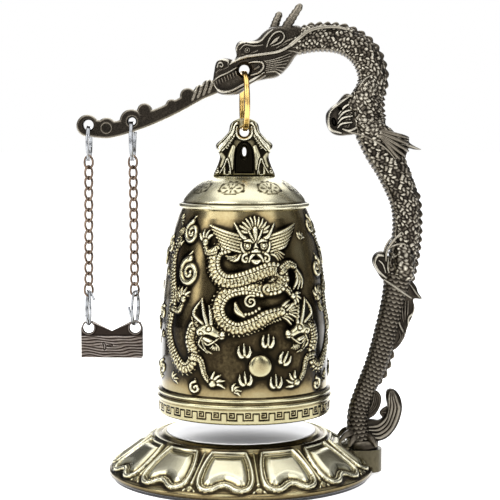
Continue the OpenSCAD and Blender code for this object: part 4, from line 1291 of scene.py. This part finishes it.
def hip_fin():
    """Pointed tip, and the leaf that hangs behind the trunk."""
    r = Relief((42.6, 36.6), (55.2, 63.2), (106, 222))
    outline = smooth_line([
        (44.4, 61.0), (49, 60.4), (52.2, 57.4), (53.2, 55), (54.3, 53.1), (51.8, 53.0), (52.2, 50.2),
        (51.4, 47.6), (50.0, 44.3), (49.0, 41.0), (46.4, 38.0), (43.8, 40.4), (43.4, 46), (43.6, 54)], 5,
                          True)
    r.stroke([(46.2, 53.6, 0.5), (46.6, 49), (48.0, 44.6), (50.0, 41.2, 0.8)], 0.42, 0.8)
    r.stroke([(51.8, 52.6, 0.5), (51.8, 49.2), (50.2, 47.4, 0.9), (50.4, 44), (49.9, 41.4, 0.6)], 0.42, 0.7)
    for k in range(4):
        r.stroke([(47.4 + 0.9 * k, 52.6, 0.4), (47.6 + 0.8 * k, 49.2), (48.2 + 0.5 * k, 45.6 + 0.6 * k,
                                                                        0.4)], 0.3, 0.45, moat=0.12)
    for k in range(3):
        r.stroke([(47.4 + 0.7 * k, 43.6, 0.4), (48.0 + 0.5 * k, 41.8, 0.9), (47.0 + 0.4 * k, 39.8, 0.3)],
                 0.26, 0.4, moat=0.1)
    r.stroke([(50.6, 57.6, 0.5), (52.6, 54.8), (54.0, 53.3, 0.4)], 0.36, 0.6)
    bronze(casting("dragon_hip_leaf", r, outline_distance(r, outline), 0.95, 0.8, 0.35), "dragon_hip_fin")


def dragon_tail():
    """Tail fan of ribs that curl up behind the foot, with two leaf blades."""
    r = Relief((36, 8.8), (49.8, 27.4), (116, 156))
    outline = smooth_line([
        (37, 11), (39.6, 9.9), (42.2, 10.0), (44.8, 11.4), (47.3, 14.8), (48.6, 19.2), (48.3, 22.6),
        (47.0, 25.0), (45.2, 25.9), (43.9, 25.3), (43.6, 23.4), (44.0, 20.4), (43.2, 17.8), (41.6, 16.4),
        (39, 16.6), (37, 15.8)], 5, True)
    for k in range(4):
        f = k / 3
        r.stroke([(38.6, 14.4 - 3.0 * f, 0.6), (41.6 + 0.4 * f, 14.9 - 3.6 * f, 0.9),
                  (43.9 + 1.4 * f, 17.4 - 3.4 * f), (44.5 + 2.9 * f, 20.8 - 1.2 * f),
                  (44.6 + 2.1 * f, 23.6 - 0.5 * f, 0.8), (44.9 + 1.0 * f, 25.3 - 0.1 * f, 0.3)], 0.6, 0.6,
                 moat=0.12)
    bronze(casting("dragon_tail_fan", r, outline_distance(r, outline), 1.5, 1.0, 0.35), "dragon_tail")
    r = Relief((36, 14), (46.4, 27), (88, 110))
    blade = smooth_line([
        (38, 25.6), (41.0, 25.2), (42.4, 23.0), (41.6, 19.6), (39.6, 17.2), (36.6, 17.0)], 6, True)
    spur = smooth_line([
        (45.2, 20.6), (43.2, 20.2), (41.8, 18.6), (42.8, 17.0), (44.6, 15.6), (46, 17)], 6, True)
    distance = np.minimum(outline_distance(r, blade), outline_distance(r, spur))
    for k in range(3):
        r.stroke([(37.2 + 0.9 * k, 18.2 + 0.2 * k, 0.4), (39.4 + 0.6 * k, 20.6),
                  (40.2 + 0.5 * k, 24.4 - 0.5 * k, 0.4)], 0.3, 0.3, moat=0.1)
    r.stroke([(45.2, 18.2, 0.5), (43.6, 18.6), (42.6, 18.6, 0.4)], 0.3, 0.3, moat=0.1)
    bronze(casting("dragon_tail_blades", r, distance, 0.6, 0.5, 0.4))


def foot_claws():
    """Claws of the foot, spread over the top of the socket, and the collar that they grow from."""
    for k, ((x0, z0), (x1, z1)) in enumerate(FOOT_CLAWS):
        for side in (-1, 1):
            points = [
                (x0, side * 2.2, z0), ((x0 + x1) / 2, side * 3.6, (z0 + z1) / 2 + 0.6),
                (x1, side * 4.0, z1)]
            tapered(f"dragon_foot_claw_{k}_{side_label(side)}", points, 8, lambda t: 1.5 * (1 - 0.7 * t),
                    14, lambda t: 0.25 + 0.4 * t)
    rows = np.array(COLLAR)
    bronze(revolved("dragon_foot_collar", rows[:, :2], 96, 36.8, rows[:, 2][None, :]))


STAFF_EYES = [(-45.3, 105.1, 1.5), (-32.3, 106.2, 1.1)]  # x, z and radius
BOSS = (-39.9, 104.2)


def mouth_staff():
    """Cloud-shaped staff: smooth pale edges, a granular face, two eyes and a small round boss."""
    r = Relief((-49.6, 100), (-4.4, 120), (300, 134))
    outline = smooth_line([
        (-47.4, 102.6), (-44.8, 101.6), (-40.2, 101.1), (-36.4, 101.7), (-32.6, 102.9), (-27.8, 104.5),
        (-22.2, 106.9), (-16.8, 109.6), (-11.2, 112.7), (-5, 115.6), (-5, 118.8), (-8.4, 117.8),
        (-12.6, 116.2), (-18, 113.3), (-24, 110.5), (-28, 109.0), (-33, 107.4), (-38, 106.2),
        (-43.6, 106.4)], 5, True)
    distance = outline_distance(r, outline)
    for x, z, radius in ((-45.6, 104.9, 3.3), (-39.9, 104.4, 2.9), (-32.6, 106.4, 3.4),
                         (-28.6, 109.4, 2.2), (-20.6, 111.1, 1.7), (-15.8, 113.8, 2.3), (-11.8, 115, 2.1),
                         (-9.4, 116.4, 2.2)):
        distance = np.minimum(distance, circle_distance(r, x, z, radius))
    # rounds the inner corners between the knobs
    distance = 0.6 * distance + 0.4 * blur(distance, 3)
    face = distance.copy()
    r.H = 0.45 * ridge(circle_distance(r, *BOSS, 1.55), 0.28)
    for x, z, radius in STAFF_EYES:
        hole = circle_distance(r, x, z, radius)
        if radius < 1.3:
            r.H = np.maximum(r.H, 0.35 * ridge(hole - 0.55, 0.28))
        distance = np.maximum(distance, -hole)
    # knot of beads before the snout
    for k in range(4):
        x = -13.4 + 1.6 * k
        r.stroke([(x - 0.9, 112.6 + 0.72 * k, 0.8), (x, 115.0 + 0.7 * k), (x + 0.3, 117.0 + 0.6 * k,
                                                                           0.8)], 0.62, 0.6, moat=0.15)
    rng = np.random.default_rng(3)
    grain = blur(rng.normal(0, 1, r.A.shape), 1)
    r.H = r.H + 0.07 * grain * (face < -0.5)
    shade = np.clip(0.2 + 0.9 * r.H + 0.45 * step_up(face, -0.75, -0.1), 0, 1)
    shade = np.where(circle_distance(r, *BOSS, 1.3) < 0, shade - 0.08, shade)
    for (x, z, _), reach in zip(STAFF_EYES, (2.0, 1.5)):
        shade = np.where(circle_distance(r, x, z, reach) < 0, shade * 0.5, shade)
    bronze(casting("mouth_cloud_staff", r, distance, 1.55, 0.75, 0.4, np.clip(shade, 0, 1)), "mouth_staff")


def dragon():
    trunk("dragon_neck_scales", 0, 5, 1.4, True, "dragon_neck")
    trunk("dragon_torso_scales", 5, 12, 1.45, True, "dragon_torso")
    trunk("dragon_trunk_scales", 12, 19, 1.95, False, "dragon_foot_trunk")
    dorsal_ridge("dragon_ridge_neck", 0.3, 6.3, 2.1, 1.0)
    dorsal_ridge("dragon_ridge_torso", 8.6, 13.0, 2.3, 1.0)
    dorsal_ridge("dragon_ridge_trunk", 14.0, 15.8, 2.9, 1.2)
    dragon_head()
    dragon_horns()
    whiskers()
    foreleg()
    elbow_fin()
    hind_leg()
    hip_fin()
    dragon_tail()
    foot_claws()
    mouth_staff()


# ---------------------------------------------------------------- striker

CHAIN_LINKS = 13
CHAIN_WIRE = 0.35
END_LINK_R, LINK_R = 0.88, 0.72  # inside radius of the end links and of the others
# name, CAD node, body, yaw and start in degrees, splay of the free ends, and turns
SMALL_RINGS = [
    ("outer_top_split_ring", "outer_top_ring", "top_rings", 0, 250, 0.25, 1.75),
    ("inner_top_split_ring", "inner_top_ring", "top_rings", 0, 100, 0.2, 1.8),
    ("outer_low_split_ring", "outer_low_ring", "striker", 12, 200, 0.9, 1.85),
    ("inner_low_split_ring", "inner_low_ring", "striker", -6, 170, 0.7, 1.85)]


def curb_link(name, centre, inner, end_r, wire, lean, twist):
    """Oval link twisted about its length, so that links lie flat in a curb chain."""
    straight = inner / 2 - end_r
    r = end_r + wire
    t = full_turn(48)
    x = r * np.cos(t)
    z = straight * np.sign(np.sin(t)) * np.minimum(1, np.abs(np.sin(t)) * 4) + r * np.sin(t)
    turn = math.radians(lean) + math.radians(twist) * z / (inner / 2)
    line = np.stack([centre[0] + x * np.cos(turn), centre[1] + x * np.sin(turn), centre[2] + z], 1)
    return tube(name, line, wire, 12, closed=True, wear_and_painted_light=0.55)


def join(name, parts):
    """One object from several, with their meshes and attributes."""
    with bpy.context.temp_override(active_object=parts[0], selected_editable_objects=parts,
                                   selected_objects=parts):
        bpy.ops.object.join()
    parts[0].name = name
    parts[0].data.name = name
    return parts[0]


def chain(name, node, body, lean):
    """Curb chain where the CAD chain hangs: twisted links, with a plain one at each end."""
    low, high = box_mm(node)
    centre_y = (low[1] + high[1]) / 2
    # the chain leans a little, so its two ends are at opposite corners of its box
    half_wide = END_LINK_R + 2 * CHAIN_WIRE
    ends = high[0] - half_wide, low[0] + half_wide
    top_x, low_x = ends if lean > 0 else ends[::-1]
    pitch = (high[2] - low[2] - 2 * CHAIN_WIRE) / CHAIN_LINKS
    links = []
    for k in range(CHAIN_LINKS):
        f = (k + 0.5) / CHAIN_LINKS
        centre = (top_x + (low_x - top_x) * f, centre_y, high[2] - CHAIN_WIRE - (k + 0.5) * pitch)
        if k in (0, CHAIN_LINKS - 1):
            shape = (pitch, END_LINK_R, CHAIN_WIRE, 0, -45)
        else:
            shape = (pitch + 0.04, LINK_R, CHAIN_WIRE, 8 * math.sin(1.9 * k), 52)
        links.append(curb_link(f"{name}_{k}", centre, *shape))
    dress(join(name, links), "copper", body, "copper_wire", node)


def small_rings():
    for name, node, body, yaw, start, splay, turns in SMALL_RINGS:
        piece = helix_ring(name, node, 0.38, 0.34, yaw, turns, splay, start, 0.5)
        dress(piece, "silver", body, "silver_wire", node)


def striker_plate():
    """Log-shaped plate: a smooth notched top with two eyes, over wavy wood grain with a knot."""
    low, high = box_mm("striker_plate")
    r = Relief((low[0] - 0.8, low[2] - 0.8), (high[0] + 0.8, high[2] + 0.8), (170, 114))
    outline = np.array([
        (low[0], low[2] + 0.15), (high[0] - 0.4, low[2]), (high[0], low[2] + 0.5), (high[0], 44.4),
        (high[0] - 0.6, 46.0), (high[0] - 2.3, 46.7), (-33.4, 46.2), (-38.8, 43.4), (-44.2, 46.2),
        (-45.8, 46.7), (-47.4, 46.0), (low[0], 44.4)])
    distance = outline_distance(r, outline)
    zone = step_up(-r.B, -42.2, -41.85)
    # grain lines bend round a small knot
    over_knot = r.B - 38.9
    bend = 0.75 * np.exp(-((r.A + 40.4) / 3.2) ** 2) * np.sign(over_knot) * np.exp(-np.abs(over_knot) / 1.8)
    wave = 0.28 * np.sin(r.A / 2.6 + 0.5) + 0.16 * np.sin(r.A / 1.1 + r.B) + bend
    grain = np.abs(np.sin(math.pi * (r.B - wave) / 0.92)) ** 0.55
    fine = 0.5 + 0.5 * np.sin(2 * math.pi * (r.B - 1.4 * wave) / 0.33 + np.sin(r.A / 1.7))
    r.H = zone * (0.1 + 0.42 * grain + 0.07 * fine)
    r.stroke([(-41.3, 39.9, 0.6), (-40.9, 38.9), (-41.0, 38.0, 0.6)], 0.26, 0.4, moat=0.2)
    r.stroke([(-40.0, 39.0, 0.6), (-38.8, 39.2, 0.6)], 0.24, 0.3, moat=0.2)
    for x in (-45.8, -31.8):
        hole = circle_distance(r, x, 44.4, 1.6)
        r.H = np.maximum(r.H, 0.3 * ridge(hole - 0.35, 0.3))
        distance = np.maximum(distance, -hole)
    # raised line under the notch
    off_middle = np.abs(r.A + 38.8)
    brow = 0.36 * ridge(r.B - 43.7 - 0.42 * off_middle, 0.32) * (off_middle < 5.6)
    r.H = np.maximum(r.H, brow * (1 - zone))
    crest = r.H - blur(r.H, 2)
    shade = np.clip(0.22 + 0.75 * r.H + 2.2 * crest + 0.02 * (1 - zone) + 0.9 * brow, 0, 1)
    piece = casting("striker_log_plate", r, distance, 0.72, 0.35, 0.7, shade)
    dress(piece, "pewter", "striker", "pewter", "striker_plate")


# ---------------------------------------------------------------- assembly

make_camera()
make_stage()
bell_barrel()
bell_mouth()
bell_cap()
bell_crown()
bell_ring()
lotus_base()
dragon()
chain("outer_curb_chain", "outer_chain", "outer_chain", 1)
chain("inner_curb_chain", "inner_chain", "inner_chain", -1)
small_rings()
striker_plate()
redress("top_disc", MATERIALS["disc"])
redress("felt_pad", felt_material())
redress("post_socket", MATERIALS["socket"])
for hidden_fastener in ("post_screw", "post_washer", "crown_screws"):
    redress(hidden_fastener, MATERIALS["steel"])
